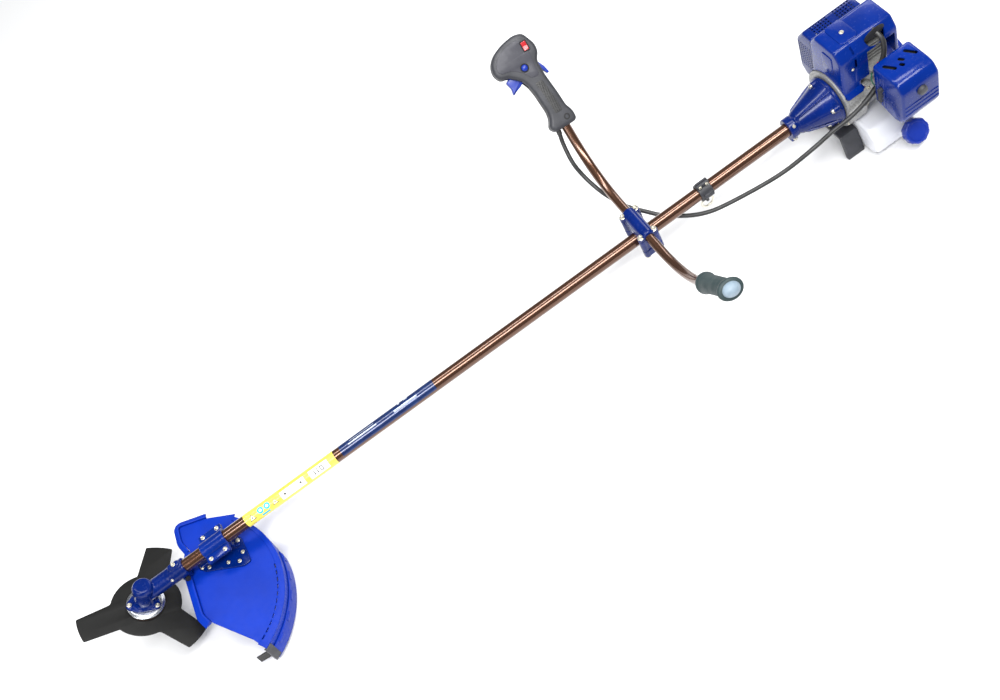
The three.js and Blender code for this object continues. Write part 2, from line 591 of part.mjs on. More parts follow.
piece('handle_shell_inner', handleBody.intersect(handSide(gap / 2, 40)), blackPlastic, rightFrame);

const triggerOutline = [[20, 121], [21, 130], [30, 134], [46, 130], [57, 126], [53, 112], [56, 98],
  [46, 103], [36, 106], [26, 112]];
piece('throttle_trigger', plateY(shapeOf(triggerOutline), -trigger.width / 2, trigger.width / 2, 1),
  bluePlastic, rightFrame);
const leverOutline = [[-5, 129.5], [-9, 134], [-15, 131], [-22, 116], [-25, 102], [-21, 101],
  [-13.5, 116], [-12, 127]];
piece('trigger_lock', plateY(shapeOf(leverOutline), -lock.width / 2, lock.width / 2, 0.8), bluePlastic,
  rightFrame);
piece('hold_button', rod(vec(button.x, shell.half - 5, button.z),
  vec(button.x, shell.half + button.proud, button.z), button.radius, 20),
  bluePlastic, rightFrame);
piece('stop_switch', block(rocker.x - rocker.width / 2, rocker.x + rocker.width / 2, shell.half - 3,
  shell.half + rocker.proud,
  rocker.z - rocker.length / 2, rocker.z + rocker.length / 2), red, rightFrame);

rightFrame.updateMatrixWorld(true);
const cableCurve = new THREE.CatmullRomCurve3([
  ...cableFromGrip.map((point) => rightFrame.localToWorld(vec(...point))),
  ...cableFromRear.map(([x, y, z]) => vec(rear + x, y, z)),
]);
piece('throttle_cable', alongCurve(roundShape(cable.radius, 8), cableCurve, 44), rubber);

// ---------------------------------------------------------------- clutch

const housingBore = tube.radius + gap;
piece('clutch_housing', cut(
  join(
    turned([[0, clutch.collar], [clutch.collarRadius, clutch.collar],
      [clutch.collarRadius, clutch.collarEnd - 5],
      [20, clutch.collarEnd - 3], [24, clutch.collarEnd + 5], [40, rear + 30],
        [clutch.mouthRadius, clutch.mouth - 7],
      [clutch.flangeRadius, clutch.mouth - 6], [clutch.flangeRadius, clutch.mouth],
        [0, clutch.mouth]], 'x', 24),
    block(clutch.collar, clutch.collar + 16, -12, 12, -clutch.collarRadius - 8, 0),
  ),
  rodX(clutch.collar - 1, tube.end + gap, housingBore, 24),
  turned([[0, tube.end - 1], [17, tube.end - 1], [17, rear + 12], [drum.radius + 1.5, drum.floor - 4],
    [43, clutch.mouth + 1],
    [0, clutch.mouth + 1]], 'x', 24),
  block(clutch.collar - 1, clutch.collar + 17, -1, 1, -40, 0),
), paint);
piece('clutch_drum', turned([[driveShaft.radius + running, rear + 13], [drum.hub, rear + 13],
  [drum.hub, drum.floor], [drum.radius, drum.floor],
  [drum.radius, drum.mouth], [drum.radius - drum.wall, drum.mouth],
    [drum.radius - drum.wall, drum.floor + 3],
  [driveShaft.radius + running, drum.floor + 3], [driveShaft.radius + running,
    rear + 13]], 'x', 20), steel);
const rotorBody = join(
  ring('x', crank.radius + running, 14, rotor.from, rotor.to, 16),
  ring('x', 20, rotor.radius, rotor.from, rotor.to, 20),
  block(rotor.from, rotor.to, -22, 22, 8, 13),
  block(rotor.from, rotor.to, -22, 22, -13, -8),
);
piece('clutch_shoes', rotorBody, alloy);

// ---------------------------------------------------------------- fan, crankcase, crankshaft

piece('fan_housing', cut(
  ring('x', fan.eye, fan.radius, fan.from, fan.to, 28),
  ring('x', 0.5, fan.radius - fan.wall, fan.from + fan.wall, fan.to + 1, 28),
  rodX(fan.from + fan.wall, fan.to + 1, 10, 12),
  block(fan.from + fan.wall, fan.to + 1, -fan.window, fan.window, 30, 90),
), alloy);
const fins = Array.from({ length: flywheel.fins }, (_, i) => {
  const fin = new THREE.BoxGeometry(flywheel.to - flywheel.from - 4, 2.5, 26);
  fin.translate((flywheel.from + flywheel.to) / 2 + 2, 0, flywheel.radius - 14);
  return solid(fin.rotateX(2 * Math.PI * i / flywheel.fins));
});
piece('flywheel', cut(
  join(ring('x', crank.radius + running, flywheel.radius, flywheel.from, flywheel.from + 6, 24),
    ring('x', crank.radius + running, 18, flywheel.from, flywheel.to, 16), ...fins),
  rodX(flywheel.from - 1, flywheel.to + 1, crank.radius + running, 16),
), alloy);

const caseMiddle = (caseBox.from + caseBox.to) / 2;
piece('crankcase', cut(
  join(rodX(caseBox.from, caseBox.to, caseBox.radius, 24),
    block(caseBox.from, caseBox.to, -caseBox.deckHalf, caseBox.deckHalf, 0, caseBox.deck),
    block(caseBox.from, caseBox.to, -12, 12, tank.high + gap, 0)),
  rodX(caseBox.from + caseBox.wall, caseBox.to - caseBox.wall, caseBox.radius - caseBox.wall, 20),
  rodX(caseBox.from - 1, caseBox.to + 1, crank.radius + 1, 20),
  rodZ(cylinder.x, 0, 0, caseBox.deck + 1, cylinder.bore + gap, 20),
), alloy);
const webs = [-1, 1].map((side) => {
  const from = caseMiddle + side * (crank.webGap / 2 + 3) - 3;
  return rodX(from, from + 6, crank.web, 24);
});
const crankPin = rod(vec(caseMiddle - crank.webGap / 2 - 1, 0, crank.throw),
  vec(caseMiddle + crank.webGap / 2 + 1, 0, crank.throw), crank.pin, 16);
piece('crankshaft', join(...webs, crankPin, rodX(rotor.from, caseMiddle - crank.webGap / 2 - 1,
  crank.radius, 20),
  rodX(caseMiddle + crank.webGap / 2 + 1, crank.rear, crank.radius, 20)), steel);

// ---------------------------------------------------------------- cylinder, piston, plug

const cylinderFins = Array.from({ length: cylinder.fins }, (_, i) => {
  const z = caseBox.deck + 12 + i * 8;
  return block(cylinder.x - cylinder.finHalf, cylinder.x + cylinder.finHalf, -cylinder.finHalf,
    cylinder.finHalf,
    z, z + cylinder.finThickness);
});
piece('cylinder', cut(
  join(rodZ(cylinder.x, 0, caseBox.deck + gap, cylinder.top, cylinder.barrel, 16), ...cylinderFins,
    block(cylinder.x - 27, cylinder.x + 27, -27, 27, caseBox.deck + gap, caseBox.deck + 6)),
  rodZ(cylinder.x, 0, 0, cylinder.top - 6, cylinder.bore + gap, 20),
  rodZ(plug.x, plug.y, cylinder.top - 30, cylinder.top + 5, 3.4, 12),
), alloy);
piece('piston', cut(
  rodZ(cylinder.x, 0, piston.top - piston.height, piston.top, cylinder.bore, 20),
  rodZ(cylinder.x, 0, piston.top - piston.height - 1, piston.top - 5, cylinder.bore - 3.5, 20),
), alloy);
const plugFoot = vec(plug.x, plug.y, 0);
piece('plug_boot', cut(
  join(rodZ(plugFoot.x, plugFoot.y, cylinder.top + 8, cylinder.top + 28, 8, 16),
    rod(vec(plugFoot.x, plugFoot.y, cylinder.top + 20),
      vec(plugFoot.x + 12, plugFoot.y - 24, cylinder.top + 22), 6, 12)),
  rodZ(plugFoot.x, plugFoot.y, cylinder.top + 7, cylinder.top + 23, 3 + gap, 12),
), rubber);

// ---------------------------------------------------------------- cowl over the cylinder

const rimAngle = THREE.MathUtils.radToDeg(Math.asin(cowl.edge / cowl.drumRadius)) + 5.91;
const wideOutline = (o, edge) => [
  [-Math.sqrt((cowl.drumRadius - o) ** 2 - edge ** 2), edge],
  ...arc(0, 0, cowl.drumRadius - o, 180 - rimAngle, 173 - rimAngle, 2),
  [cowl.left + o, 92], [cowl.left + o, cowl.top - 22 - o / 2], [cowl.left + 16 + o, cowl.top - o],
  [cowl.right - 16 - o, cowl.top - o], [cowl.right - o, cowl.top - 22 - o / 2], [cowl.right - o, 92],
  ...arc(0, 0, cowl.drumRadius - o, rimAngle + 7, rimAngle, 2),
  [Math.sqrt((cowl.drumRadius - o) ** 2 - edge ** 2), edge]];
const narrowOutline = (o) => [
  [cowl.left + o, 52], [cowl.left + o, cowl.top - 22 - o / 2], [cowl.left + 16 + o, cowl.top - o],
  [cowl.right - 16 - o, cowl.top - o], [cowl.right - o, cowl.top - 22 - o / 2], [cowl.right - o, 52]];
const cowlStep = fan.to + 4;
piece('cylinder_cover', cut(
  join(profileX(wideOutline(0, cowl.edge), cowl.from, cowlStep),
    profileX(narrowOutline(0), cowlStep - 1, cowl.to)),
  profileX(wideOutline(cowl.wall, cowl.edge - 6), cowl.from + cowl.wall, cowlStep - cowl.wall),
  profileX(narrowOutline(cowl.wall).map(([y, z]) => [y, z === 52 ? z - 20 : z]), cowlStep - cowl.wall - 1,
    cowl.to - cowl.wall),
  block(rear + 112, cowl.to - 8, -90, cowl.left + 20, 46, cowl.top - 30),
  rod(vec(rear + 135, cowl.left - 8, cowl.top - 12), vec(rear + 135, cowl.left + 24, cowl.top - 2), 21, 24),
  block(rear + 74, rear + 170, 20, 60, 46, 100),
  rodX(cowl.from - 1, cowl.from + 4, fan.radius + 1, 28),
  rodX(starter.from - gap, cowl.to + 1, starter.radius + 1, 24),
), paint);

// ---------------------------------------------------------------- muffler side

const chamferBox = (x0, x1, y0, y1, z0, z1, c) =>
  profileY([[x0 + c, z0], [x1 - c, z0], [x1, z0 + c], [x1, z1 - c],
  [x1 - c, z1], [x0 + c, z1], [x0, z1 - c], [x0, z0 + c]], y0, y1);
const inside = muffler.wall;
piece('muffler', cut(
  join(
    chamferBox(muffler.from, muffler.to, muffler.near, muffler.far, muffler.low, muffler.high, 8),
    block(cylinder.x - 12, cylinder.x + 12, cylinder.finHalf + gap, muffler.near + 1, 66, 84),
  ),
  chamferBox(muffler.from + inside, muffler.to - inside, muffler.near + inside, muffler.far - inside,
    muffler.low + inside, muffler.high - inside, 7),
  rod(vec(muffler.to - 16, muffler.far - 5, muffler.low + 14),
    vec(muffler.to - 16, muffler.far + 5, muffler.low + 14), 5, 12),
), blackSteel);
const coverOutline = (o) => [[mufflerCover.near + (o ? -2 : 0), mufflerCover.low + o],
  [mufflerCover.far - 16 - o / 2, mufflerCover.low + o],
  [mufflerCover.far - o, mufflerCover.low + 18 + o / 2],
    [mufflerCover.far - o, mufflerCover.high - 30 - o / 2],
  [mufflerCover.far - 22 - o / 2, mufflerCover.high - o],
    [mufflerCover.near + (o ? -2 : 0), mufflerCover.high - o]];
const louvres = Array.from({ length: 7 }, (_, i) =>
  block(rear + 80 + i * 13, rear + 87 + i * 13, mufflerCover.far - 8, mufflerCover.far + 5, 22, 72));
piece('muffler_cover', cut(
  profileX(coverOutline(0), mufflerCover.from, mufflerCover.to),
  profileX(coverOutline(mufflerCover.wall), mufflerCover.from + mufflerCover.wall,
    mufflerCover.to - mufflerCover.wall),
  ...louvres,
  rodX(fan.from, starter.to, cowl.drumRadius + 1, 24),
), paint);

// ---------------------------------------------------------------- carburettor side

const carbMiddle = vec((carb.from + carb.to) / 2, (carb.near + carb.far) / 2, (carb.low + carb.high) / 2);
piece('carburettor', cut(
  join(block(carb.from, carb.to, carb.far, carb.near, carb.low, carb.high),
    block(cylinder.x - 10, carb.to - 8, carb.near - 1, -cylinder.finHalf - gap, 58, 68),
    rod(vec(carbMiddle.x, carb.far + 1, carbMiddle.z),
      vec(carbMiddle.x, filter.baseY + 0.1, carbMiddle.z), 12, 20)),
  rodZ(carbMiddle.x, carbMiddle.y, carb.low - 1, carb.low + bulb.travel + 2, bulb.radius + gap, 20),
), alloy);
piece('primer_bulb', turned([[0, carb.low - bulb.reach], [5, carb.low - bulb.reach + 1],
  [bulb.radius - 1, carb.low - 4],
  [bulb.radius, carb.low - 1], [bulb.radius, carb.low + 1.5], [0, carb.low + 1.5]], 'z', 20)
  .translate([carbMiddle.x, carbMiddle.y, 0]), milky);
const insideX = [filter.from + filter.wall + gap, filter.to - filter.wall - gap];
const insideZ = [filter.low + filter.wall + gap, filter.high - filter.wall - gap];
piece('air_filter_base', cut(
  block(insideX[0], insideX[1] , filter.baseY - 4, filter.baseY - gap, insideZ[0] + 12, insideZ[1] - 8),
  rod(vec(carbMiddle.x, -200, carbMiddle.z), vec(carbMiddle.x, 0, carbMiddle.z), 9, 20),
), blackPlastic);
const filterOutline = (o) => [[filter.near + (o ? 3 : 0), filter.low + 14 + o],
  [filter.far + 24 + o, filter.low + o],
  [filter.far + 8 + o, filter.low + 6 + o], [filter.far + o, filter.low + 22],
    [filter.far + o, filter.high - 20],
  [filter.far + 12 + o, filter.high - 4 - o], [filter.far + 26, filter.high - o],
    [filter.near + (o ? 3 : 0), filter.high - o]];
const slots = [[rear + 120, -92], [rear + 142, -92], [rear + 164, -92]].map(([x, y]) =>
  block(x - 3, x + 3, y - 11, y + 11, filter.high - 6, filter.high + 5));
piece('air_filter_cover', cut(
  profileX(filterOutline(0), filter.from, filter.to),
  profileX(filterOutline(filter.wall), filter.from + filter.wall, filter.to - filter.wall),
  ...slots,
), paint);
piece('choke_lever', join(
  rod(vec(choke.x - 2, choke.y, choke.z), vec(filter.from - gap, choke.y, choke.z), 5, 16),
  block(choke.x - 2, choke.x + 1.5, choke.y - 4, choke.y + 4, choke.z - choke.length, choke.z),
), blackPlastic);

// ---------------------------------------------------------------- starter

const rearGap = caseBox.to + gap;
piece('starter_housing', cut(
  join(ring('x', 14, starter.radius, rearGap + 3, starter.to, 24),
    block(rearGap, starter.from + 6, -20, 20, -36, 36)),
  rodX(starter.from + 6, starter.to - starter.wall, starter.radius - starter.wall, 24),
  rodX(rearGap - 1, starter.from + 7, starter.pulley + 4, 20),
  rodX(rearGap, starter.to + 1, 14, 20),
  rod(vec(starter.pullX, 20, 0), vec(starter.pullX, 80, 0), 4, 12),
), bluePlastic);
piece('starter_pulley', join(
  ring('x', crank.radius + running, starter.pulley - 4, starter.pullX - 6, starter.pullX + 6, 18),
  ring('x', crank.radius + running, starter.pulley, starter.pullX - 8, starter.pullX - 5.5, 18),
  ring('x', crank.radius + running, starter.pulley, starter.pullX + 5.5, starter.pullX + 8, 18),
), blackPlastic);
const pullFoot = starter.radius + gap;
piece('starter_handle', cut(join(
  plateHandle(pullFoot + 4, pullFoot + 4 + pull.depth),
  rod(vec(starter.pullX, pullFoot, 0), vec(starter.pullX, pullFoot + 6, 0), 6.5, 16),
), rod(vec(starter.pullX, pullFoot - 1, 0), vec(starter.pullX, pullFoot + 12, 0), 2.2, 10)), blackPlastic);
function plateHandle(y0, y1) {
  const half = pull.width / 2;
  const points = [[starter.pullX - half + 2, -pull.length / 2],
    [starter.pullX + half - 2, -pull.length / 2],
    [starter.pullX + half, -pull.length / 2 + 3], [starter.pullX + half, pull.length / 2 - 3],
    [starter.pullX + half - 2, pull.length / 2], [starter.pullX - half + 2, pull.length / 2],
    [starter.pullX - half, pull.length / 2 - 3], [starter.pullX - half, -pull.length / 2 + 3]];
  return profileY(points, y0, y1, 2);
}

// ---------------------------------------------------------------- fuel tank, cap, stand

const tankOutline = [[tank.left + tank.round, tank.low], [tank.right - tank.round, tank.low],
  [tank.right, tank.low + tank.round],
  [tank.right, tank.high - tank.round], [tank.right - tank.round, tank.high],
    [tank.left + tank.round + 8, tank.high],
  [tank.left, tank.high - tank.round - 6], [tank.left, tank.low + tank.round]];
const capAxis = vec(0, -Math.sin(rad(cap.lean)), Math.cos(rad(cap.lean)));
const capCentre = vec(cap.x, cap.y, cap.z);
const along = (distance) => capCentre.clone().addScaledVector(capAxis, distance);
piece('fuel_tank', cut(
  join(profileX(tankOutline, tank.from, tank.to, 3), rod(along(-30), along(4), cap.neck, 24)),
  rodX(tank.from - 5, fan.to + 1, fan.radius + 1, 28),
  rodX(rearGap - 1, starter.to + 2, starter.radius + 1, 24),
), milky);
const capRibCount = 10;
const capRibs = Array.from({ length: capRibCount }, (_, i) => {
  const rib = new THREE.BoxGeometry(2.4, 2.4, cap.height - 2).translate(cap.radius - 0.8, 0, 0);
  return solid(rib.rotateZ(2 * Math.PI * i / capRibCount));
});
const capFrame = new THREE.Group();
capFrame.position.copy(capCentre);
capFrame.quaternion.setFromUnitVectors(vec(0, 0, 1), capAxis);
group.add(capFrame);
piece('fuel_cap', join(
  turned([[0, cap.height / 2], [cap.radius - 4, cap.height / 2], [cap.radius - 1.4, cap.height / 2 - 2.6],
    [cap.radius - 1.4, -cap.height / 2], [cap.neck + gap, -cap.height / 2], [cap.neck + gap, 4 + gap],
      [0, 4 + gap]], 'z', 20),
  ...capRibs,
), bluePlastic, capFrame);

const leg = (side) => profileX([[side * stand.half, -fan.radius - gap - 1],
  [side * (stand.half - 8), -fan.radius - stand.thick],
  [side * (stand.spread - 9), groundZ], [side * stand.spread, groundZ], [side * stand.spread, groundZ + 9]],
stand.from, stand.to);
const saddleBar = block(stand.from, stand.to, -stand.half, stand.half,
  -fan.radius - gap - stand.thick - 3, -fan.radius - gap - 1);
piece('engine_stand', join(saddleBar, leg(1), leg(-1)), blackPlastic);

// ---------------------------------------------------------------- origin

// The origin is the middle of the footprint, on the ground.
const extent = new THREE.Box3().setFromObject(group, true);
const centre = extent.getCenter(vec());
group.position.set(-centre.x, -centre.y, -extent.min.z);

export default group;
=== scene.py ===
"""Surfaces and finishes of a petrol brush cutter, built round its solid frame.

Lengths are millimetres in one of the machine's own frames: the shaft frame has X along the main
tube towards the engine, Y to the operator's right and its zero on the tube's axis, where the
blade's axis crosses it. A piece's matrix turns them into metres in the row frame.
"""

import json
import math

import bmesh
import bpy
import numpy as np
from mathutils import Matrix, Vector
from mathutils.geometry import tessellate_polygon


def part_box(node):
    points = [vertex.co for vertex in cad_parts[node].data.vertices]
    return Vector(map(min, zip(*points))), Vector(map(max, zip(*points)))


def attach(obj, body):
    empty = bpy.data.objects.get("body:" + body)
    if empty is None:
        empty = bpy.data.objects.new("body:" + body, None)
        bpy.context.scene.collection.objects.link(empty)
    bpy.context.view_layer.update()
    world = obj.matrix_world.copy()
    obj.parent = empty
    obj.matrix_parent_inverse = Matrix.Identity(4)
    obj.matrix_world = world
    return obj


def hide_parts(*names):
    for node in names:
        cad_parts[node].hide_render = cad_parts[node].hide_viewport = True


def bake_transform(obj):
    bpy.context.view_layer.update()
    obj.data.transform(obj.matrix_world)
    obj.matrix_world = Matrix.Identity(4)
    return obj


bl_info = {
    "name": "Brush Cutter",
    "version": (1, 0, 0),
    "blender": (4, 5, 0),
    "location": "3D Viewport > Sidebar > Brush Cutter",
    "description": "Surfaces and finishes of a petrol brush cutter",
    "category": "Add Mesh",
}

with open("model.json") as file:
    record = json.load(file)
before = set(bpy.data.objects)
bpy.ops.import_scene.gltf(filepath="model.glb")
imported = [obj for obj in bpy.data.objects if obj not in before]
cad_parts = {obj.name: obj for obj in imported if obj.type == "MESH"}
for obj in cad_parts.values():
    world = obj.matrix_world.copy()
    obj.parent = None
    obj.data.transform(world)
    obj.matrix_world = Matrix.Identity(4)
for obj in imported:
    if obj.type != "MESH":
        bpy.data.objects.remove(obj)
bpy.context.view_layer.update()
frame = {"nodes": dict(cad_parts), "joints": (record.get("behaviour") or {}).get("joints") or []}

# ------------------------------------------------------------------ places taken from the frame

MM = 0.001


def joint(name):
    """The frame's joint of that name."""
    return next(item for item in frame["joints"] if item["name"] == name)


def shift(x, y, z):
    """A matrix that moves by x, y, z."""
    matrix = np.eye(4)
    matrix[:3, 3] = x, y, z
    return matrix


def turn(axis, degrees):
    """A matrix that turns about a named axis by the right-hand rule."""
    return np.array(Matrix.Rotation(math.radians(degrees), 4, axis))


def basis(x_axis, y_axis, z_axis, origin=(0, 0, 0)):
    """A matrix whose columns are three directions and an origin."""
    matrix = np.eye(4)
    matrix[:3, 0], matrix[:3, 1], matrix[:3, 2], matrix[:3, 3] = x_axis, y_axis, z_axis, origin
    return matrix


CROSSING = np.array(joint("blade_spin")["pos_m"])
BLADE_AXIS = joint("blade_spin")["axis"]
HEAD_TILT = math.degrees(math.atan2(BLADE_AXIS[0], BLADE_AXIS[2]))
SHAFT = shift(*CROSSING) @ np.diag((MM, MM, MM, 1.0))
HEAD = SHAFT @ turn("Y", HEAD_TILT)
GUARD_ANCHOR, GUARD_DROP, GUARD_TILT = 165, 45, 10
GUARD = SHAFT @ shift(GUARD_ANCHOR, 0, -GUARD_DROP) @ turn("Y", GUARD_TILT)
ALONG_X = basis((0, 1, 0), (0, 0, 1), (1, 0, 0))     # a profile's own z runs along X
ALONG_Y = basis((1, 0, 0), (0, 0, 1), (0, -1, 0))    # a profile's own z runs along -Y


class Span:
    """A CAD node's box in shaft-frame millimetres: x0 to x1, y0 to y1, z0 to z1."""

    def __init__(self, node):
        low, high = (np.array(corner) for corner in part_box(node))
        self.x0, self.y0, self.z0 = (low - CROSSING) / MM
        self.x1, self.y1, self.z1 = (high - CROSSING) / MM


TUBE = Span("shaft_tube")
TUBE_RADIUS = TUBE.z1
BAR_RADIUS = 9
BAR = {"x": 1152, "height": 32, "half": 67, "bend": 205, "angle": 44, "lean": 5.5, "length": 374}
GRIP_START = 252


def bar_point(reach):
    """The handlebar's centreline at a distance along it: a straight middle, one bend of even
    radius each side, then straight, all in a plane that leans back by a small angle."""
    reach = np.asarray(reach, float)
    s, angle = np.abs(reach), math.radians(BAR["angle"])
    swing = np.clip((s - BAR["half"]) / BAR["bend"], 0, angle)
    past = np.clip(s - BAR["half"] - BAR["bend"] * angle, 0, None)
    across = np.minimum(s, BAR["half"]) + BAR["bend"] * np.sin(swing) + past * math.cos(angle)
    rise = BAR["bend"] * (1 - np.cos(swing)) + past * np.sin(swing)
    lean = math.radians(BAR["lean"])
    return np.stack([BAR["x"] + rise * math.sin(lean), np.sign(reach) * across,
                     BAR["height"] + rise * math.cos(lean)], -1)


def grip_frame(side):
    """The frame at the start of a grip: z runs out along the bar, x points away from the operator."""
    start = bar_point(side * GRIP_START)
    out = bar_point(side * (GRIP_START + 50)) - start
    out /= np.linalg.norm(out)
    lean = math.radians(BAR["lean"])
    forward = np.array([-math.cos(lean), 0, math.sin(lean)])
    return SHAFT @ basis(forward, np.cross(out, forward), out, start)


RIGHT, LEFT = grip_frame(1), grip_frame(-1)
CAP_LEAN = 52
CAP = SHAFT @ shift(*((np.array(joint("cap_turn")["pos_m"]) - CROSSING) / MM)) @ turn("X", CAP_LEAN)


# ------------------------------------------------------------------ surfaces

def grid_faces(rows, columns, close_rows=False, close_columns=True):
    """Four-sided faces between neighbouring points of a grid, closed round on itself if asked."""
    i, j = np.meshgrid(np.arange(rows - (not close_rows)), np.arange(columns - (not close_columns)),
                       indexing="ij")
    i2, j2 = (i + 1) % rows, (j + 1) % columns
    quads = np.stack([i * columns + j, i * columns + j2, i2 * columns + j2, i2 * columns + j], -1)
    return quads.reshape(-1, 4).tolist()


def skin(rings, ends=True):
    """A closed surface through rings of points, with a flat face on its first and last ring."""
    rows, columns = rings.shape[:2]
    faces = grid_faces(rows, columns)
    if ends:
        faces.append(list(range(columns))[::-1])
        faces.append(list(range((rows - 1) * columns, rows * columns)))
    return rings.reshape(-1, 3), faces


def place(shape, matrix):
    """The shape with every point multiplied by a matrix."""
    points, faces = shape
    return points @ matrix[:3, :3].T + matrix[:3, 3], faces


def rounded(points, radius, steps=4, closed=True):
    """The outline with each corner eased: a parabola that leaves one side and meets the next at
    the same distance from the corner, which is the radius or at most 45% of the shorter side."""
    p = np.asarray(points, float)
    before, after = np.roll(p, 1, 0) - p, np.roll(p, -1, 0) - p
    length_in, length_out = np.linalg.norm(before, axis=1), np.linalg.norm(after, axis=1)
    reach = np.minimum(np.broadcast_to(radius, len(p)), 0.45 * np.minimum(length_in, length_out))
    if not closed:
        reach = reach * np.r_[0, np.ones(len(p) - 2), 0]
    a = p + before / length_in[:, None] * reach[:, None]
    c = p + after / length_out[:, None] * reach[:, None]
    t = np.linspace(0, 1, steps + 1)[None, :, None]
    curve = (1 - t) ** 2 * a[:, None] + 2 * t * (1 - t) * p[:, None] + t ** 2 * c[:, None]
    flat = curve.reshape(-1, 2)
    kept = np.linalg.norm(flat - np.roll(flat, 1, 0), axis=1) > 1e-4
    return flat[kept | (np.arange(len(flat)) == 0)] if not closed else flat[kept]


def arc(radius, start, end, steps, centre=(0, 0)):
    """Points on a circle from one angle to another, in degrees."""
    angle = np.radians(np.linspace(start, end, steps + 1))
    return np.stack([centre[0] + radius * np.cos(angle), centre[1] + radius * np.sin(angle)], -1)


def anticlockwise(points):
    """The outline turned so that its area, the sum of its corners' cross products, is positive."""
    p, q = points, np.roll(points, -1, 0)
    return points if np.sum(p[:, 0] * q[:, 1] - q[:, 0] * p[:, 1]) > 0 else points[::-1]


def inset(points, distance):
    """The outline moved inwards: each corner goes along the mean of its sides' normals, further
    where they differ, so that both sides move by the distance."""
    side = np.roll(points, -1, 0) - points
    normal = np.stack([side[:, 1], -side[:, 0]], -1) / np.linalg.norm(side, axis=1)[:, None]
    before = np.roll(normal, 1, 0)
    spread = np.clip(1 + np.sum(normal * before, 1), 0.35, None)
    return points - distance * (normal + before) / spread[:, None]


def slab(outline, low, high, edge=0.0, steps=4, holes=(), low_edge=None):
    """A flat plate of an outline between two heights, whose rims are quarter circles: at angle t
    the wall has come in by edge (1 - cos t) and the face is edge (1 - sin t) away. Holes go right
    through."""
    low_edge = edge if low_edge is None else low_edge
    t = np.radians(np.linspace(90, 0, steps + 1))
    depth = np.r_[low_edge * (1 - np.cos(t)), edge * (1 - np.cos(t[::-1]))]
    height = np.r_[low + low_edge * (1 - np.sin(t)), high - edge * (1 - np.sin(t[::-1]))]
    loops, faces, count = [], [], 0
    tops, bottoms = [], []
    for sign, loop in [(1, outline)] + [(-1, hole) for hole in holes]:
        points = anticlockwise(np.asarray(loop, float))
        rings = np.stack([np.c_[inset(points, sign * d), np.full(len(points), h)]
                          for d, h in zip(depth, height)])
        rows, columns = rings.shape[:2]
        faces += [[count + k for k in face] for face in grid_faces(rows, columns)]
        bottoms.append(np.arange(columns) + count)
        tops.append(np.arange(columns) + count + (rows - 1) * columns)
        loops.append(rings.reshape(-1, 3))
        count += rows * columns
    points = np.concatenate(loops)
    for rim in (bottoms, tops):
        order = np.concatenate(rim)
        if holes:
            cap = tessellate_polygon([[Vector(points[k]) for k in loop] for loop in rim])
            faces += [[int(order[k]) for k in triangle] for triangle in cap]
        else:
            faces.append(order.tolist())
    return points, faces


def lathe(profile, sides=64, radius=0.0, steps=4):
    """A profile of (radius, height) turned about z, closed on the axis or on itself."""
    p = np.asarray(profile, float)
    looped = bool(np.all(p[0] == p[-1]))
    if radius and looped:
        p = rounded(p[:-1], radius, steps)
        p = np.concatenate([p, p[:1]])
    elif radius:
        p = rounded(p, radius, steps, closed=False)
    angle = np.linspace(0, 2 * math.pi, sides, endpoint=False)
    rings = np.stack([p[:, :1] * np.cos(angle), p[:, :1] * np.sin(angle),
                      np.broadcast_to(p[:, 1:], (len(p), sides))], -1)
    return rings.reshape(-1, 3), grid_faces(len(p), sides)


def round_bar(radius, low, high, sides=64, edge=0.0):
    """A straight round bar about z, whose rims are eased by an edge."""
    return lathe([(0, low), (radius, low), (radius, high), (0, high)], sides, edge)


def ring(inner, outer, low, high, sides=64, edge=0.4):
    """A flat ring whose four rims are bevelled."""
    return lathe([(inner, low + edge), (inner + edge, low), (outer - edge, low), (outer, low + edge),
                  (outer, high - edge), (outer - edge, high), (inner + edge, high),
                  (inner, high - edge), (inner, low + edge)], sides)


def sweep(path, section, scale=None, up=(0, 0, 1)):
    """A section carried along a path: each ring stands square to the path, with its own y kept
    as near as it can be to one direction, and grows by a scale at each point."""
    path = np.asarray(path, float)
    tangent = np.gradient(path, axis=0)
    tangent /= np.linalg.norm(tangent, axis=1)[:, None]
    side = np.cross(tangent, up)
    side /= np.linalg.norm(side, axis=1)[:, None]
    rise = np.cross(side, tangent)
    scale = np.ones((len(path), 2)) if scale is None else np.asarray(scale, float).reshape(len(path), -1)
    across = section[None, :, :1] * scale[:, None, :1]
    above = section[None, :, 1:] * scale[:, None, -1:]
    return skin(path[:, None] + across * side[:, None] + above * rise[:, None])


def spline(points, per_span=6):
    """A smooth curve through chosen points: between two of them, a cubic whose end slopes are
    half the distance between each one's neighbours."""
    p = np.asarray(points, float)
    p = np.concatenate([[2 * p[0] - p[1]], p, [2 * p[-1] - p[-2]]])
    a, b, c, d = p[:-3, None], p[1:-2, None], p[2:-1, None], p[3:, None]
    t = np.linspace(0, 1, per_span, endpoint=False)[None, :, None]
    curve = 0.5 * (2 * b + (c - a) * t + (2 * a - 5 * b + 4 * c - d) * t ** 2
                   + (3 * b - a - 3 * c + d) * t ** 3)
    return np.concatenate([curve.reshape(-1, 3), p[-2:-1]])


def tube(path, radius, sides=16, up=(0, 0, 1)):
    """A round bar along a path."""
    return sweep(path, arc(radius, 0, 360 - 360 / sides, sides - 1), up=up)


def brick(x0, x1, y0, y1, z0, z1, edge=1.0):
    """A box whose upright corners and rims are eased."""
    outline = rounded([(x0, y0), (x1, y0), (x1, y1), (x0, y1)], 1.6 * edge, 3)
    return slab(outline, z0, z1, edge, 3)


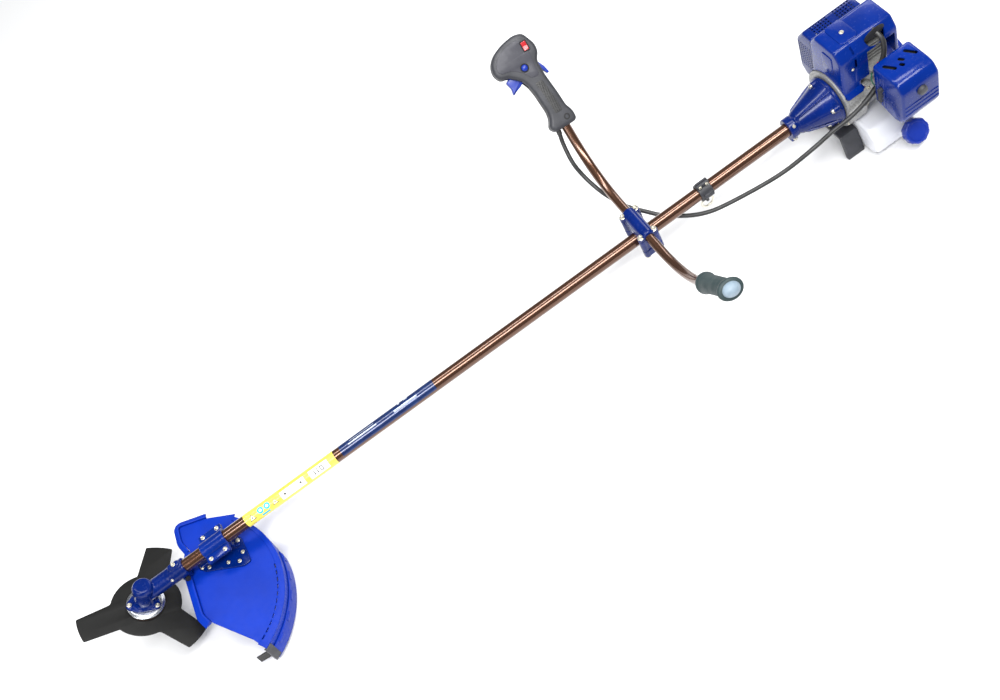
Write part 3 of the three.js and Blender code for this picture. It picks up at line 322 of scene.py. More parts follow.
def bolt(x, y, z, radius=4.0, height=3.4, washer=1.3):
    """A socket-head screw on a washer, standing at a point with its head up."""
    socket, deep = 0.45 * radius, 0.55 * height
    head = lathe([(0, height - deep), (socket, height - deep), (socket, height), (radius - 0.6, height),
                  (radius, height - 0.7), (radius, 0), (0, 0)], 24)
    base = lathe([(0, -0.2), (radius * washer, -0.2), (radius * washer, 0.5), (0, 0.9)], 24)
    return [place(shape, shift(x, y, z)) for shape in (head, base)]


def towards(point, direction):
    """A matrix that stands a shape's z along a direction, at a point."""
    z = np.asarray(direction, float) / np.linalg.norm(direction)
    x = np.cross((0, 1, 0) if abs(z[1]) < 0.9 else (1, 0, 0), z)
    x /= np.linalg.norm(x)
    return basis(x, np.cross(z, x), z, point)


def bolt_at(point, direction, **sizes):
    """A screw at a point whose head faces a direction."""
    return [place(shape, towards(point, direction)) for shape in bolt(0, 0, 0, **sizes)]


def mesh_of(name, shapes, matrix, uv=None):
    """A mesh of several closed shapes in the row frame, its doubles merged and its faces out."""
    points, faces, count = [], [], 0
    for shape_points, shape_faces in shapes:
        points.append(shape_points)
        faces += [[k + count for k in face] for face in shape_faces]
        count += len(shape_points)
    points = np.concatenate(points) @ matrix[:3, :3].T + matrix[:3, 3]
    mesh = bpy.data.meshes.new(name)
    mesh.from_pydata(points.tolist(), [], faces)
    if uv is not None:
        loops = np.empty(len(mesh.loops), np.int32)
        mesh.loops.foreach_get("vertex_index", loops)
        mesh.uv_layers.new(name="art").data.foreach_set("uv", uv[loops].astype(np.float32).ravel())
    work = bmesh.new()
    work.from_mesh(mesh)
    bmesh.ops.remove_doubles(work, verts=work.verts, dist=2e-6)
    bmesh.ops.dissolve_degenerate(work, edges=work.edges, dist=1e-6)
    bmesh.ops.recalc_face_normals(work, faces=work.faces)
    work.to_mesh(mesh)
    work.free()
    return mesh


def shade(mesh, degrees):
    """Smooth shading, with an edge left sharp where its faces differ by more than the angle."""
    mesh.polygons.foreach_set("use_smooth", np.ones(len(mesh.polygons), bool))
    mesh.set_sharp_from_angle(angle=math.radians(degrees))


def applied(obj):
    """The object's mesh with its modifiers worked out and taken off."""
    graph = bpy.context.evaluated_depsgraph_get()
    made = bpy.data.meshes.new_from_object(obj.evaluated_get(graph))
    obj.modifiers.clear()
    obj.data = made


def combine(obj, shapes, matrix, operation):
    """Joins shapes to a piece, or takes them out of it."""
    other = bpy.data.objects.new("other", mesh_of("other", shapes, matrix))
    bpy.context.scene.collection.objects.link(other)
    modifier = obj.modifiers.new("combine", "BOOLEAN")
    modifier.operation, modifier.solver, modifier.object = operation, "MANIFOLD", other
    bpy.context.view_layer.update()
    before = len(obj.data.vertices), len(obj.data.polygons)
    applied(obj)
    bpy.data.objects.remove(other)
    if not obj.data.polygons or (len(obj.data.vertices), len(obj.data.polygons)) == before:
        raise RuntimeError(f"{operation} changed nothing on {obj.name}")


def piece(name, shapes, matrix, finish, body="machine", replaces=(), angle=40, cuts=(),
          uv=None, cast=0.0):
    """A finished piece that rides on a body. cast is a voxel size in millimetres: the shapes are
    melted into one skin of that fineness and smoothed, as a casting's fillets are."""
    joined = bool(cuts) and not cast
    obj = bpy.data.objects.new(name, mesh_of(name, shapes[:1] if joined else shapes, matrix, uv))
    bpy.context.scene.collection.objects.link(obj)
    for shape in shapes[1:] if joined else []:
        combine(obj, [shape], matrix, "UNION")
    if cast:
        melt = obj.modifiers.new("melt", "REMESH")
        melt.mode, melt.voxel_size = "VOXEL", cast * MM
        soften = obj.modifiers.new("soften", "SMOOTH")
        soften.factor, soften.iterations = 0.5, 5
        bpy.context.view_layer.update()
        applied(obj)
    for shapes_out in cuts:
        combine(obj, shapes_out, matrix, "DIFFERENCE")
    obj.data.name = name
    shade(obj.data, angle)
    obj.data.materials.clear()
    obj.data.materials.append(finish)
    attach(obj, body)
    if replaces:
        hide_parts(*replaces)
    return obj


# ------------------------------------------------------------------ finishes

class Socket:
    """A node's output with arithmetic: each operator adds the Math node that does it."""

    def __init__(self, tree, link):
        self.tree, self.link = tree, link

    def add(self, kind, settings=None, values=None, out=0):
        """Any other node: its type, its settings, then its inputs, each a number or a Socket."""
        node = self.tree.nodes.new(kind)
        for key, value in (settings or {}).items():
            if key == "stops":
                ramp = node.color_ramp
                for _ in value[2:]:
                    ramp.elements.new(0.5)
                for element, (where, colour) in zip(ramp.elements, value):
                    element.position, element.color = where, colour
            else:
                setattr(node, key, value)
        for key, value in (values or {}).items():
            if isinstance(value, Socket):
                self.tree.links.new(value.link, node.inputs[key])
            else:
                node.inputs[key].default_value = value
        return Socket(self.tree, node.outputs[out])

    def math(self, operation, *values):
        """A Math node of this operation on some values."""
        return self.add("ShaderNodeMath", {"operation": operation}, dict(enumerate(values)))

    def __add__(self, other):
        return self.math("ADD", self, other)

    __radd__ = __add__

    def __sub__(self, other):
        return self.math("SUBTRACT", self, other)

    def __rsub__(self, other):
        return self.math("SUBTRACT", other, self)

    def __mul__(self, other):
        return self.math("MULTIPLY", self, other)

    __rmul__ = __mul__

    def __truediv__(self, other):
        return self.math("DIVIDE", self, other)

    def __lt__(self, other):
        return self.math("LESS_THAN", self, other)

    def __gt__(self, other):
        return self.math("GREATER_THAN", self, other)

    def __or__(self, other):
        return self.math("MAXIMUM", self, other)

    def __and__(self, other):
        return self.math("MINIMUM", self, other)

    def part(self, which):
        """One number of a vector: 0, 1 or 2."""
        return self.add("ShaderNodeSeparateXYZ", {}, {0: self}, which)

    def near(self, value, reach):
        """One where this is within a reach of a value, else nothing."""
        return self.math("ABSOLUTE", self - value) < reach


def colour(rgb):
    """A colour with full alpha."""
    return (*rgb, 1.0)


class Finish:
    """A material: one Principled shader and the nodes that vary it over the surface."""

    def __init__(self, name, rough=0.5, metal=0.0, coat=0.0, **constants):
        self.material = bpy.data.materials.new(name)
        self.material.use_nodes = True
        tree = self.material.node_tree
        tree.nodes.clear()
        self.shader = tree.nodes.new("ShaderNodeBsdfPrincipled")
        output = tree.nodes.new("ShaderNodeOutputMaterial")
        tree.links.new(self.shader.outputs[0], output.inputs[0])
        self.tree, self.start = tree, Socket(tree, None)
        for key, value in {"Roughness": rough, "Metallic": metal, "Coat Weight": coat, **constants}.items():
            self.shader.inputs[key].default_value = value
        self.place = self.start.add("ShaderNodeTexCoord", out=3)

    def noise(self, scale, detail=3.0, stretch=(1, 1, 1), rough=0.55):
        """Cloudy noise from 0 to 1, with a number of lumps in a metre and a stretch on each axis."""
        where = self.start.add("ShaderNodeMapping", {}, {0: self.place, "Scale": stretch})
        return self.start.add("ShaderNodeTexNoise", {},
                              {"Vector": where, "Scale": scale, "Detail": detail, "Roughness": rough})

    def spread(self, value, low, high, to_low=0.0, to_high=1.0):
        """A value's range laid onto another, held at its ends."""
        return self.start.add("ShaderNodeMapRange", {}, {0: value, 1: low, 2: high, 3: to_low, 4: to_high})

    def mix(self, factor, first, second):
        """Two colours mixed by a factor."""
        made = self.tree.nodes.new("ShaderNodeMix")
        made.data_type = "RGBA"
        for slot, value in ((0, factor), (6, first), (7, second)):
            if isinstance(value, Socket):
                self.tree.links.new(value.link, made.inputs[slot])
            else:
                made.inputs[slot].default_value = value if slot == 0 else colour(value)
        return Socket(self.tree, made.outputs[2])

    def set(self, **sockets):
        """Feeds values that vary over the surface to the shader. Base is its Base Color."""
        for key, value in sockets.items():
            name = {"Base": "Base Color", "Coat": "Coat Weight"}.get(key, key)
            self.tree.links.new(value.link, self.shader.inputs[name])
        return self

    def bump(self, height, strength, reach=0.0005, edge=0.0):
        """Relief from a height, over corners that are eased by an edge radius in millimetres."""
        inputs = {"Height": height, "Strength": strength, "Distance": reach}
        if edge:
            inputs["Normal"] = self.start.add("ShaderNodeBevel", {"samples": 4}, {"Radius": edge * MM})
        return self.set(Normal=self.start.add("ShaderNodeBump", {}, inputs))


def painted(name, rgb, shade_rgb, rough, coat, grain=300.0, relief=0.02, **constants):
    """Sprayed or moulded gloss: slow cloudy colour, a faint orange peel and small dull scuffs."""
    finish = Finish(name, rough, coat=coat, **constants)
    cloud, scuff = finish.noise(14), finish.noise(160, 5)
    finish.set(Base=finish.mix(finish.spread(cloud, 0.3, 0.7), rgb, shade_rgb),
               Roughness=finish.spread(scuff, 0.45, 0.75, rough, rough + 0.16))
    return finish.bump(finish.noise(grain, 2), relief, 0.0004, 0.5).material


def moulded(name, rgb, shade_rgb, rough, grain=2600.0, relief=0.25):
    """Textured plastic or rubber: a fine leathery grain and patches worn a little smoother."""
    finish = Finish(name, rough)
    worn = finish.noise(40, 4)
    finish.set(Base=finish.mix(finish.spread(worn, 0.3, 0.75), rgb, shade_rgb),
               Roughness=finish.spread(worn, 0.35, 0.7, rough + 0.08, rough - 0.08))
    return finish.bump(finish.noise(grain, 3), relief, 0.0003, 0.5).material


def cast_metal(name, rgb, shade_rgb, rough, metal, relief=0.5):
    """Sand-cast alloy: coarse and fine grain together, darker in its pits."""
    finish = Finish(name, rough, metal)
    coarse, fine = finish.noise(420, 4), finish.noise(2200, 2)
    finish.set(Base=finish.mix(finish.spread(coarse, 0.35, 0.65), shade_rgb, rgb),
               Roughness=finish.spread(fine, 0.3, 0.7, rough - 0.08, rough + 0.14))
    return finish.bump(coarse * 0.6 + fine * 0.4, relief, 0.0005, 0.6).material


def turned_metal(name, rgb, shade_rgb, rough, centre=None):
    """Machined metal: fine rings about an axis if a centre is given, else fine even scratches."""
    finish = Finish(name, rough, 1.0)
    if centre is None:
        lines = finish.noise(900, 4, (1, 6, 6))
    else:
        from_axis = finish.start.add("ShaderNodeVectorMath", {"operation": "DISTANCE"},
                                     {0: finish.place, 1: tuple(centre)}, 1)
        lines = finish.start.add("ShaderNodeTexNoise", {"noise_dimensions": "1D"},
                                 {"W": from_axis, "Scale": 2600.0, "Detail": 3.0})
    finish.set(Base=finish.mix(finish.spread(lines, 0.3, 0.7), shade_rgb, rgb),
               Roughness=finish.spread(lines, 0.3, 0.7, rough, rough + 0.18))
    return finish.bump(lines, 0.25, 0.0002, 0.3).material


def bronze_tube():
    """Brown lacquered tube: drawn streaks along it, over a metal flake, under a clear coat."""
    settings = bpy.context.scene.brush_cutter_looks
    finish = Finish("bronze_lacquer", 0.22, 0.75, 0.7, **{"Coat Roughness": 0.08})
    streak, flake = finish.noise(60, 5, (0.05, 6, 6)), finish.noise(3800, 2)
    warm = finish.mix(finish.spread(streak, 0.3, 0.7), settings.tube, (0.09, 0.04, 0.022))
    finish.set(Base=finish.mix(finish.spread(flake, 0.6, 0.85, 0, 0.12), warm, (0.3, 0.17, 0.1)),
               Roughness=finish.spread(streak, 0.3, 0.7, 0.18, 0.24))
    return finish.bump(streak, 0.02, 0.0002).material


def blade_steel():
    """Black painted plate, dusty and mottled, rubbed to bare metal in flecks."""
    finish = Finish("blade_black", 0.5, 0.1, **{"Specular IOR Level": 0.25})
    cloud, fleck = finish.noise(60, 6), finish.noise(900, 5)
    bare = finish.spread(fleck, 0.7, 0.78, 0, 0.5)
    finish.set(Base=finish.mix(bare, (0.007, 0.007, 0.0065), (0.12, 0.11, 0.1)),
               Roughness=finish.spread(cloud, 0.3, 0.7, 0.42, 0.62), Metallic=bare)
    return finish.bump(finish.noise(1500, 3), 0.2, 0.0003, 0.3).material


def art(finish, length, width):
    """A label's own places in millimetres: along it and across it."""
    where = finish.start.add("ShaderNodeTexCoord", out=2)
    return where.part(0) * length, where.part(1) * width


def disc_mask(u, v, x, y, radius):
    """One inside a circle."""
    du, dv = u - x, v - y
    return (du * du + dv * dv) < radius * radius


def box_mask(u, v, x, y, half_x, half_y):
    """One inside a box."""
    return u.near(x, half_x) & v.near(y, half_y)


def triangle_mask(u, v, x, y, size):
    """One inside a triangle that stands on its base: below two slopes and above a line."""
    up = v - (y - size * 0.5)
    lean = u.math("ABSOLUTE", u - x) * 1.8
    return ((up + lean) < size) & (up > 0)


def safety_sticker(length, width):
    """Yellow sticker with plain warning signs: triangles, blue discs, a panel and two boxes."""
    finish = Finish("safety_sticker", 0.35, coat=0.3)
    u, v = art(finish, length, width)
    middle = width * 0.5
    base = finish.mix(finish.spread(finish.noise(90, 4), 0.4, 0.7), (0.93, 0.76, 0.1), (0.85, 0.66, 0.08))
    signs = [
        (triangle_mask(u, v, 16, middle, 13), (0.03, 0.03, 0.02)),
        (triangle_mask(u, v, 16, middle - 0.4, 9.5), (0.95, 0.9, 0.6)),
        (disc_mask(u, v, 16, middle - 1.5, 1.5), (0.03, 0.03, 0.02)),
        (disc_mask(u, v, 36, middle + 2, 6.4) | disc_mask(u, v, 51, middle + 2, 6.4), (0.0, 0.42, 0.62)),
        (disc_mask(u, v, 36, middle + 2, 3) | disc_mask(u, v, 51, middle + 2, 3), (0.75, 0.92, 0.95)),
        (box_mask(u, v, 43, middle - 9, 9, 2), (0.0, 0.42, 0.62)),
        (triangle_mask(u, v, 68, middle, 12), (0.03, 0.03, 0.02)),
        (triangle_mask(u, v, 68, middle - 0.4, 8.8), (0.95, 0.9, 0.6)),
        (disc_mask(u, v, 68, middle - 1.5, 1.4), (0.03, 0.03, 0.02)),
        (box_mask(u, v, 110, middle - 1, 28, 9), (0.04, 0.04, 0.03)),
        (box_mask(u, v, 110, middle - 1, 27.4, 8.4), (0.95, 0.93, 0.85)),
        (disc_mask(u, v, 92, middle, 2.4) | disc_mask(u, v, 128, middle, 2.4), (0.03, 0.03, 0.02)),
        (box_mask(u, v, 110, middle, 14, 0.5), (0.03, 0.03, 0.02)),
        (box_mask(u, v, 104, middle + 12, 22, 0.6), (0.2, 0.16, 0.03)),
        (box_mask(u, v, 170, middle - 1, 22, 9.5), (0.04, 0.04, 0.03)),
        (box_mask(u, v, 170, middle - 1, 21.4, 8.9), (0.95, 0.94, 0.9)),
        (box_mask(u, v, 160, middle - 1, 1, 5) | box_mask(u, v, 167, middle - 1, 1, 5)
         | (box_mask(u, v, 176, middle - 1, 3.6, 5) & (1 - box_mask(u, v, 176, middle - 1, 2, 3.4))),
         (0.03, 0.03, 0.03)),
    ]
    for mask, rgb in signs:
        base = finish.mix(mask, base, rgb)
    finish.set(Base=base)
    return finish.bump(finish.noise(500, 3), 0.05, 0.0003).material


def maker_plate(length, width):
    """Navy foil with plain pale bars where print would be."""
    finish = Finish("navy_foil", 0.25, 0.2, 0.6)
    u, v = art(finish, length, width)
    middle = width * 0.5
    base = finish.mix(finish.spread(finish.noise(70, 4), 0.4, 0.7), (0.004, 0.016, 0.085),
        (0.008, 0.03, 0.13))
    dashes = (u * 0.45).math("FRACT", u * 0.45) < 0.62
    rows = (box_mask(u, v, 52, middle - 2, 32, 1.4) | box_mask(u, v, 52, middle + 3, 28, 0.7)
            | box_mask(u, v, 150, middle - 3, 26, 2.2)) & dashes
    marks = rows | disc_mask(u, v, 138, middle + 7, 2.2) | box_mask(u, v, 154, middle + 7, 4, 1.4)
    finish.set(Base=finish.mix(marks, base, (0.62, 0.68, 0.75)))
    return finish.bump(finish.noise(500, 3), 0.04, 0.0003).material


def finishes():
    """Every finish by name, made once."""
    look = bpy.context.scene.brush_cutter_looks
    blue, deep = tuple(look.blue), tuple(look.deep_blue)
    middle = HEAD @ np.array([0, 0, -26, 1.0])
    gloss = {"Coat Roughness": 0.04, "Specular IOR Level": 0.2}
    return {
        "paint": painted("gloss_paint", deep, tuple(0.55 * c for c in deep), 0.2, 0.18, 260, 0.02, **gloss),
        "cover": painted("gloss_cover", tuple(1.35 * c for c in deep), deep, 0.18, 0.18, 260, 0.02,
            **gloss),
        "guard": painted("guard_plastic", blue, tuple(0.8 * c for c in blue), 0.42, 0.0, 700, 0.05,
            **{"Specular IOR Level": 0.2}),
        "blue": painted("blue_plastic", tuple(0.8 * c for c in blue), tuple(0.6 * c for c in blue),
                        0.34, 0.1, 700, 0.04),
        "bronze": bronze_tube(),
        "blade": blade_steel(),
        "black_steel": cast_metal("black_steel", (0.03, 0.03, 0.03), (0.012, 0.012, 0.012), 0.5, 0.3, 0.3),
        "steel": turned_metal("machined_steel", (0.62, 0.63, 0.66), (0.38, 0.39, 0.41), 0.28),
        "disc": turned_metal("spun_disc", (0.85, 0.87, 0.9), (0.5, 0.52, 0.55), 0.16, middle[:3]),
        "zinc": turned_metal("zinc_plate", (0.86, 0.83, 0.72), (0.55, 0.52, 0.44), 0.22),
        "alloy": cast_metal("cast_alloy", (0.42, 0.42, 0.41), (0.24, 0.24, 0.235), 0.5, 0.55),
        "black": moulded("black_plastic", (0.022, 0.023, 0.028), (0.036, 0.037, 0.045), 0.5),
        "face": moulded("handle_face", (0.035, 0.035, 0.046), (0.05, 0.05, 0.062), 0.5, 3200, 0.15),
        "rubber": moulded("black_rubber", (0.012, 0.012, 0.012), (0.028, 0.028, 0.028), 0.42, 1800, 0.12),
        "grip": moulded("green_grey_rubber", (0.017, 0.034, 0.036), (0.028, 0.048, 0.05), 0.52, 2200, 0.3),
        "grip_end": moulded("pale_grip_end", (0.2, 0.27, 0.33), (0.32, 0.4, 0.47), 0.4, 500, 0.4),
        "red": painted("red_plastic", (0.55, 0.012, 0.02), (0.4, 0.008, 0.014), 0.28, 0.3),
        "milky": painted("milky_plastic", (0.8, 0.81, 0.85), (0.7, 0.71, 0.76), 0.38, 0.2, 900, 0.1),
        "brown": moulded("brown_ring", (0.06, 0.028, 0.018), (0.035, 0.018, 0.012), 0.5),
        "red_wire": painted("red_wire", (0.6, 0.02, 0.08), (0.5, 0.01, 0.05), 0.35, 0.3),
        "green_wire": painted("green_wire", (0.01, 0.12, 0.07), (0.01, 0.09, 0.05), 0.35, 0.3),
        # Painted shade: a near-black finish for the floor of the plug's notch, the inside of the air filter
        # and the rims round the handle's button, switch and screw hole, where shade falls.
        "painted_shade": moulded("recess_painted_shade", (0.006, 0.006, 0.007), (0.012, 0.012, 0.013), 0.7),
        "cord": moulded("starter_cord", (0.02, 0.02, 0.022), (0.08, 0.08, 0.08), 0.8, 5000, 0.6),
    }


FINISH = {}


# ------------------------------------------------------------------ pieces

HEAD_FROM_SHAFT = turn("Y", HEAD_TILT)
FLANGE_TOP, FLANGE_BOTTOM, BLADE_TOP, BLADE_BOTTOM = -22.3, -32.3, -32.6, -34.6
BLADE_RADIUS, BLADE_DISC, BLADE_BORE, BLADE_PHASE = 127.5, 66, 12.7, 62.3
GUARD_CENTRE, GUARD_RADIUS, GUARD_FROM, GUARD_TO = (57, -62), 190, -57, 41
GUARD_FRONT = [(205, 67), (152, 92), (97, 105), (93, 71), (102, 38), (89, 17), (81, -94), (89, -116),
               (145, -191)]
HANDLE_HALF = 15
HANDLE_OUTLINE = [(-24, 0), (24, 0), (31, 12), (22, 26), (19, 40), (21, 80), (24, 98), (30, 112),
                  (50, 131), (63, 133), (70, 148), (66, 166), (52, 180), (30, 189), (2, 193), (-16, 188),
                  (-27, 160), (-25, 144), (-15, 132), (-14, 104), (-18, 60), (-19, 34), (-25, 20)]
HANDLE_FACE = [(-9, 150), (-8, 172), (3, 183), (28, 180), (48, 172), (59, 161), (61, 149), (56, 142),
               (38, 139), (20, 124), (12, 108), (-4, 106), (-6, 132)]
TRIGGER = [(20, 121), (21, 130), (30, 134), (46, 130), (57, 126), (53, 112), (56, 98), (46, 103),
           (36, 106), (26, 112)]
LOCK = [(-5, 129.5), (-9, 134), (-15, 131), (-22, 116), (-25, 102), (-21, 101), (-13.5, 116), (-12, 127)]
TRIGGER_POCKET = [(4, 93), (4, 134), (42, 140), (66, 131), (66, 96), (60, 60), (12, 84)]
LOCK_POCKET = [(-40, 90), (-40, 138), (-1.5, 140), (-1.5, 126.5), (-8.8, 125), (-8.8, 90)]
BUTTON, ROCKER = (14, 131), (-7, 165)
# Each lamp's name, place in metres, width and height in metres, and power in watts.
LAMPS = (("key", (0.3, -1.3, 2.9), (4.0, 0.7), 150), ("top", (0.2, 0.7, 3.1), (4.0, 0.4), 75),
         ("fill", (-2.8, -1.6, 1.9), (1.6, 1.6), 32), ("rear", (2.6, 2.4, 2.0), (1.6, 1.0), 30))
# The camera's lens and sensor width in mm, its place in the shaft's frame, and its three axes.
LENS, SENSOR = 40.23, 36.0
EYE = (871.36, -1185.34, 1703.82)
VIEW = ((0.80965, -0.47136, -0.34969), (0.58622, 0.67844, 0.44280), (0.02852, -0.56350, 0.82562))
CABLE_RADIUS = 4.2
TUBE_BORE = 13.2
COWL_FRONT, COWL_REAR = 1577, 1698
PULL_X = 1706
PLUG_WELL = ((1655, -50, 134), (0, -0.96, -0.3))
CABLE_ROUTE = [
    (1142.9, 237, 117.3), (1142, 227.6, 108.3), (1136, 212, 88), (1131, 185, 62), (1134, 162, 38),
    (1142, 130, 17),
    (1155, 92, 5), (1168, 68, -3), (1184, 48, -10), (1207, 22, -20), (1238, -6, -24), (1268, -25, -26),
    (1303, -37, -26), (1374, -52, -22), (1430, -58, -20), (1490, -62, -8), (1531, -65, 5),
    (1570, -68, 13), (1608, -65, 22), (1645, -58, 36),
]


def circle(radius, x=0.0, y=0.0, sides=24):
    """A round outline."""
    return arc(radius, 0, 360 - 360 / sides, sides - 1, (x, y))


def sticker(name, x0, x1, low_angle, high_angle, finish):
    """A thin sheet wrapped on the main tube, with its own places from 0 to 1 along and across."""
    t = np.linspace(0, 1, 40)
    angle = np.radians(high_angle + (low_angle - high_angle) * np.r_[t, t[::-1]])
    radius = TUBE_RADIUS + np.r_[np.full(40, 0.16), np.full(40, 0.02)]
    section = np.stack([radius * np.cos(angle), radius * np.sin(angle)], -1)
    x = np.array([x0, x1])
    rings = np.stack([np.broadcast_to(x[:, None], (2, 80)), np.broadcast_to(section[:, 0], (2, 80)),
                      np.broadcast_to(section[:, 1], (2, 80))], -1)
    uv = np.stack([np.repeat([0.0, 1.0], 80), np.tile(np.r_[t, t[::-1]], 2)], -1)
    return piece(name, [skin(rings)], SHAFT, finish, uv=uv)


def guard_points(points):
    """Places seen from above, laid on the guard's tilted plate."""
    p = np.asarray(points, float)
    return np.stack([(p[:, 0] - GUARD_ANCHOR) / math.cos(math.radians(GUARD_TILT)), p[:, 1]], -1)


def rim(radius, start, end, steps):
    """Points along the guard's rim."""
    return guard_points(arc(radius, start, end, steps, GUARD_CENTRE))


def band(inner, outer, start, end, low, high, edge, steps=40):
    """A curved bar between two radii of the rim."""
    outline = np.concatenate([rim(outer, start, end, steps), rim(inner, end, start, steps)])
    return slab(outline, low, high, edge, 3)


def ridge(points, width, height):
    """A wedge along a polyline on the guard: upright at the edge, sloping down inwards."""
    p = np.asarray(points, float)
    tangent = np.gradient(p, axis=0)
    tangent /= np.linalg.norm(tangent, axis=1)[:, None]
    inward = np.stack([-tangent[:, 1], tangent[:, 0]], -1)
    offsets = np.array([(0, -2.5), (0, height - 0.8), (1.5, height), (3.5, height - 0.4), (width, -0.4)])
    across = p[:, None] + inward[:, None] * offsets[None, :, :1]
    up = np.broadcast_to(offsets[:, 1], (len(p), 5))
    return skin(np.concatenate([across, up[..., None]], -1))


def looks(obj, node_finish):
    """A node or piece takes a finish by its name."""
    obj.data.materials.clear()
    obj.data.materials.append(FINISH[node_finish])


class BrushCutterLooks(bpy.types.PropertyGroup):
    """The colours that a maker would change."""

    blue: bpy.props.FloatVectorProperty(
        name="Guard Blue", description="Colour of the guard and controls", subtype="COLOR",
        size=3, min=0.0, max=1.0, default=(0.0, 0.03, 0.39))
    deep_blue: bpy.props.FloatVectorProperty(
        name="Paint Blue", description="Colour of the painted castings and covers", subtype="COLOR",
        size=3, min=0.0, max=1.0, default=(0.0, 0.015, 0.16))
    tube: bpy.props.FloatVectorProperty(
        name="Tube Brown", description="Colour of the lacquered tubes", subtype="COLOR",
        size=3, min=0.0, max=1.0, default=(0.14, 0.062, 0.032))


class BrushCutterSizes(bpy.types.PropertyGroup):
    """The fine sizes that the CAD frame leaves open."""

    paint_edge: bpy.props.FloatProperty(
        name="Edge Radius", description="Radius of the covers' moulded edges", default=0.006,
        min=0.001, max=0.012, unit="LENGTH")
    cast_grain: bpy.props.FloatProperty(
        name="Casting Fineness", description="Size of the smallest detail in castings",
        default=0.0008, min=0.0005, max=0.002, unit="LENGTH")
    grip_relief: bpy.props.FloatProperty(
        name="Grip Relief", description="Height of the diamonds on the grip", default=0.0006,
        min=0.0, max=0.0015, unit="LENGTH")


class BRUSHCUTTER_OT_shaft(bpy.types.Operator):
    """Build the main tube and its two stickers"""

    bl_idname = "brushcutter.shaft"
    bl_label = "Main Tube"
    bl_options = {"REGISTER", "UNDO"}

    def execute(self, context):
        wall = ring(TUBE_RADIUS - 1.5, TUBE_RADIUS, TUBE.x0, TUBE.x1, 96, 0.3)
        piece("tube_skin", [wall], SHAFT @ ALONG_X, FINISH["bronze"], replaces=["shaft_tube"])
        wrap = TUBE_RADIUS * math.radians(200)
        sticker("safety_sticker", 240, 447, 25, 225, safety_sticker(207, wrap))
        sticker("maker_plate", 462, 676, 20, 165, maker_plate(214, TUBE_RADIUS * math.radians(145)))
        return {"FINISHED"}


class BRUSHCUTTER_OT_head(bpy.types.Operator):
    """Build the gear case and its screws"""

    bl_idname = "brushcutter.head"
    bl_label = "Gear Head"
    bl_options = {"REGISTER", "UNDO"}

    def execute(self, context):
        sizes = context.scene.brush_cutter_sizes
        dome = lathe([(0, -20), (20, -20), (20, 28), (16, 36), (0, 36)], 64, 3.5)
        outline = rounded([(-36, -5), (-36, 5), (-18, 20), (18, 27), (24, 20), (24, -20), (18, -27),
                           (-18, -20)], 5)
        foot = slab(outline, -22, -16.5, 0.8)
        skirt = lathe([(0, -22), (22.6, -22), (22.6, -15), (19, -9), (0, -9)], 64, 2)
        ears = [(-30, 0), (17, 21), (17, -21)]
        bosses = [place(round_bar(5.2, -22, -14.6, 24), shift(x, y, 0))
                  for x, y in ears]
        neck = place(lathe([(0, 2), (17.2, 2), (17.2, 60), (17.6, 62), (17.6, 97), (0, 97)], 64, 1.2),
            ALONG_X)
        lug = brick(74, 96, -12, 12, -25, -8, 2)
        cheek = brick(70, 95, -4, 10, 10, 21, 3)
        tilted = [place(shape, HEAD_FROM_SHAFT) for shape in [dome, foot, skirt, *bosses]]
        slit = brick(64, 99, -1, 1, -27, -12, 0.2)
        piece("gear_case_casting", tilted + [neck, lug, cheek], SHAFT, FINISH["paint"], cuts=[[slit]],
              replaces=["gear_case"], cast=sizes.cast_grain / MM)
        screws = [place(shape, HEAD_FROM_SHAFT @ shift(x, y, -14.6))
                  for x, y in ears for shape in bolt(0, 0, 0, radius=3.6, height=3)]
        screws += bolt_at((84, 4, 21), (0, 0, 1), radius=3.4, height=3)
        screws += bolt_at((66, -15.5, 8), (0, -0.9, 0.5), radius=2.2, height=1.6)
        piece("head_screws", screws, SHAFT, FINISH["zinc"])
        return {"FINISHED"}


class BRUSHCUTTER_OT_blade(bpy.types.Operator):
    """Build the blade and the disc that holds it"""

    bl_idname = "brushcutter.blade"
    bl_label = "Blade"
    bl_options = {"REGISTER", "UNDO"}

    def execute(self, context):
        outline = []
        for i in range(3):
            middle = BLADE_PHASE + i * 120
            outline += [arc(BLADE_DISC, middle - 26, middle - 26, 0), arc(BLADE_RADIUS, middle - 11.5,
                        middle + 11.5, 8), arc(BLADE_DISC, middle + 26, middle + 86, 14)]
        shape = rounded(np.concatenate(outline), 5, 3)
        plate = slab(shape, BLADE_BOTTOM, BLADE_TOP, 0.4, 3, holes=[circle(BLADE_BORE, sides=48)])
        piece("blade_plate", [plate], HEAD, FINISH["blade"], "cutter", ["blade"])
        disc = lathe([(5.3, FLANGE_TOP), (31, FLANGE_TOP), (36, -25.4), (36, -28.6), (5.3, -28.6),
                      (5.3, FLANGE_TOP)], 96, 1.2)
        piece("blade_holder", [disc], HEAD, FINISH["disc"], "cutter", ["blade_flange"])
        collar = lathe([(12.3, -28.4), (34.4, -28.4), (34.8, FLANGE_BOTTOM), (12.3, FLANGE_BOTTOM),
                        (12.3, -28.4)], 96)
        piece("dust_collar", [collar], HEAD, FINISH["brown"], "cutter")
        return {"FINISHED"}


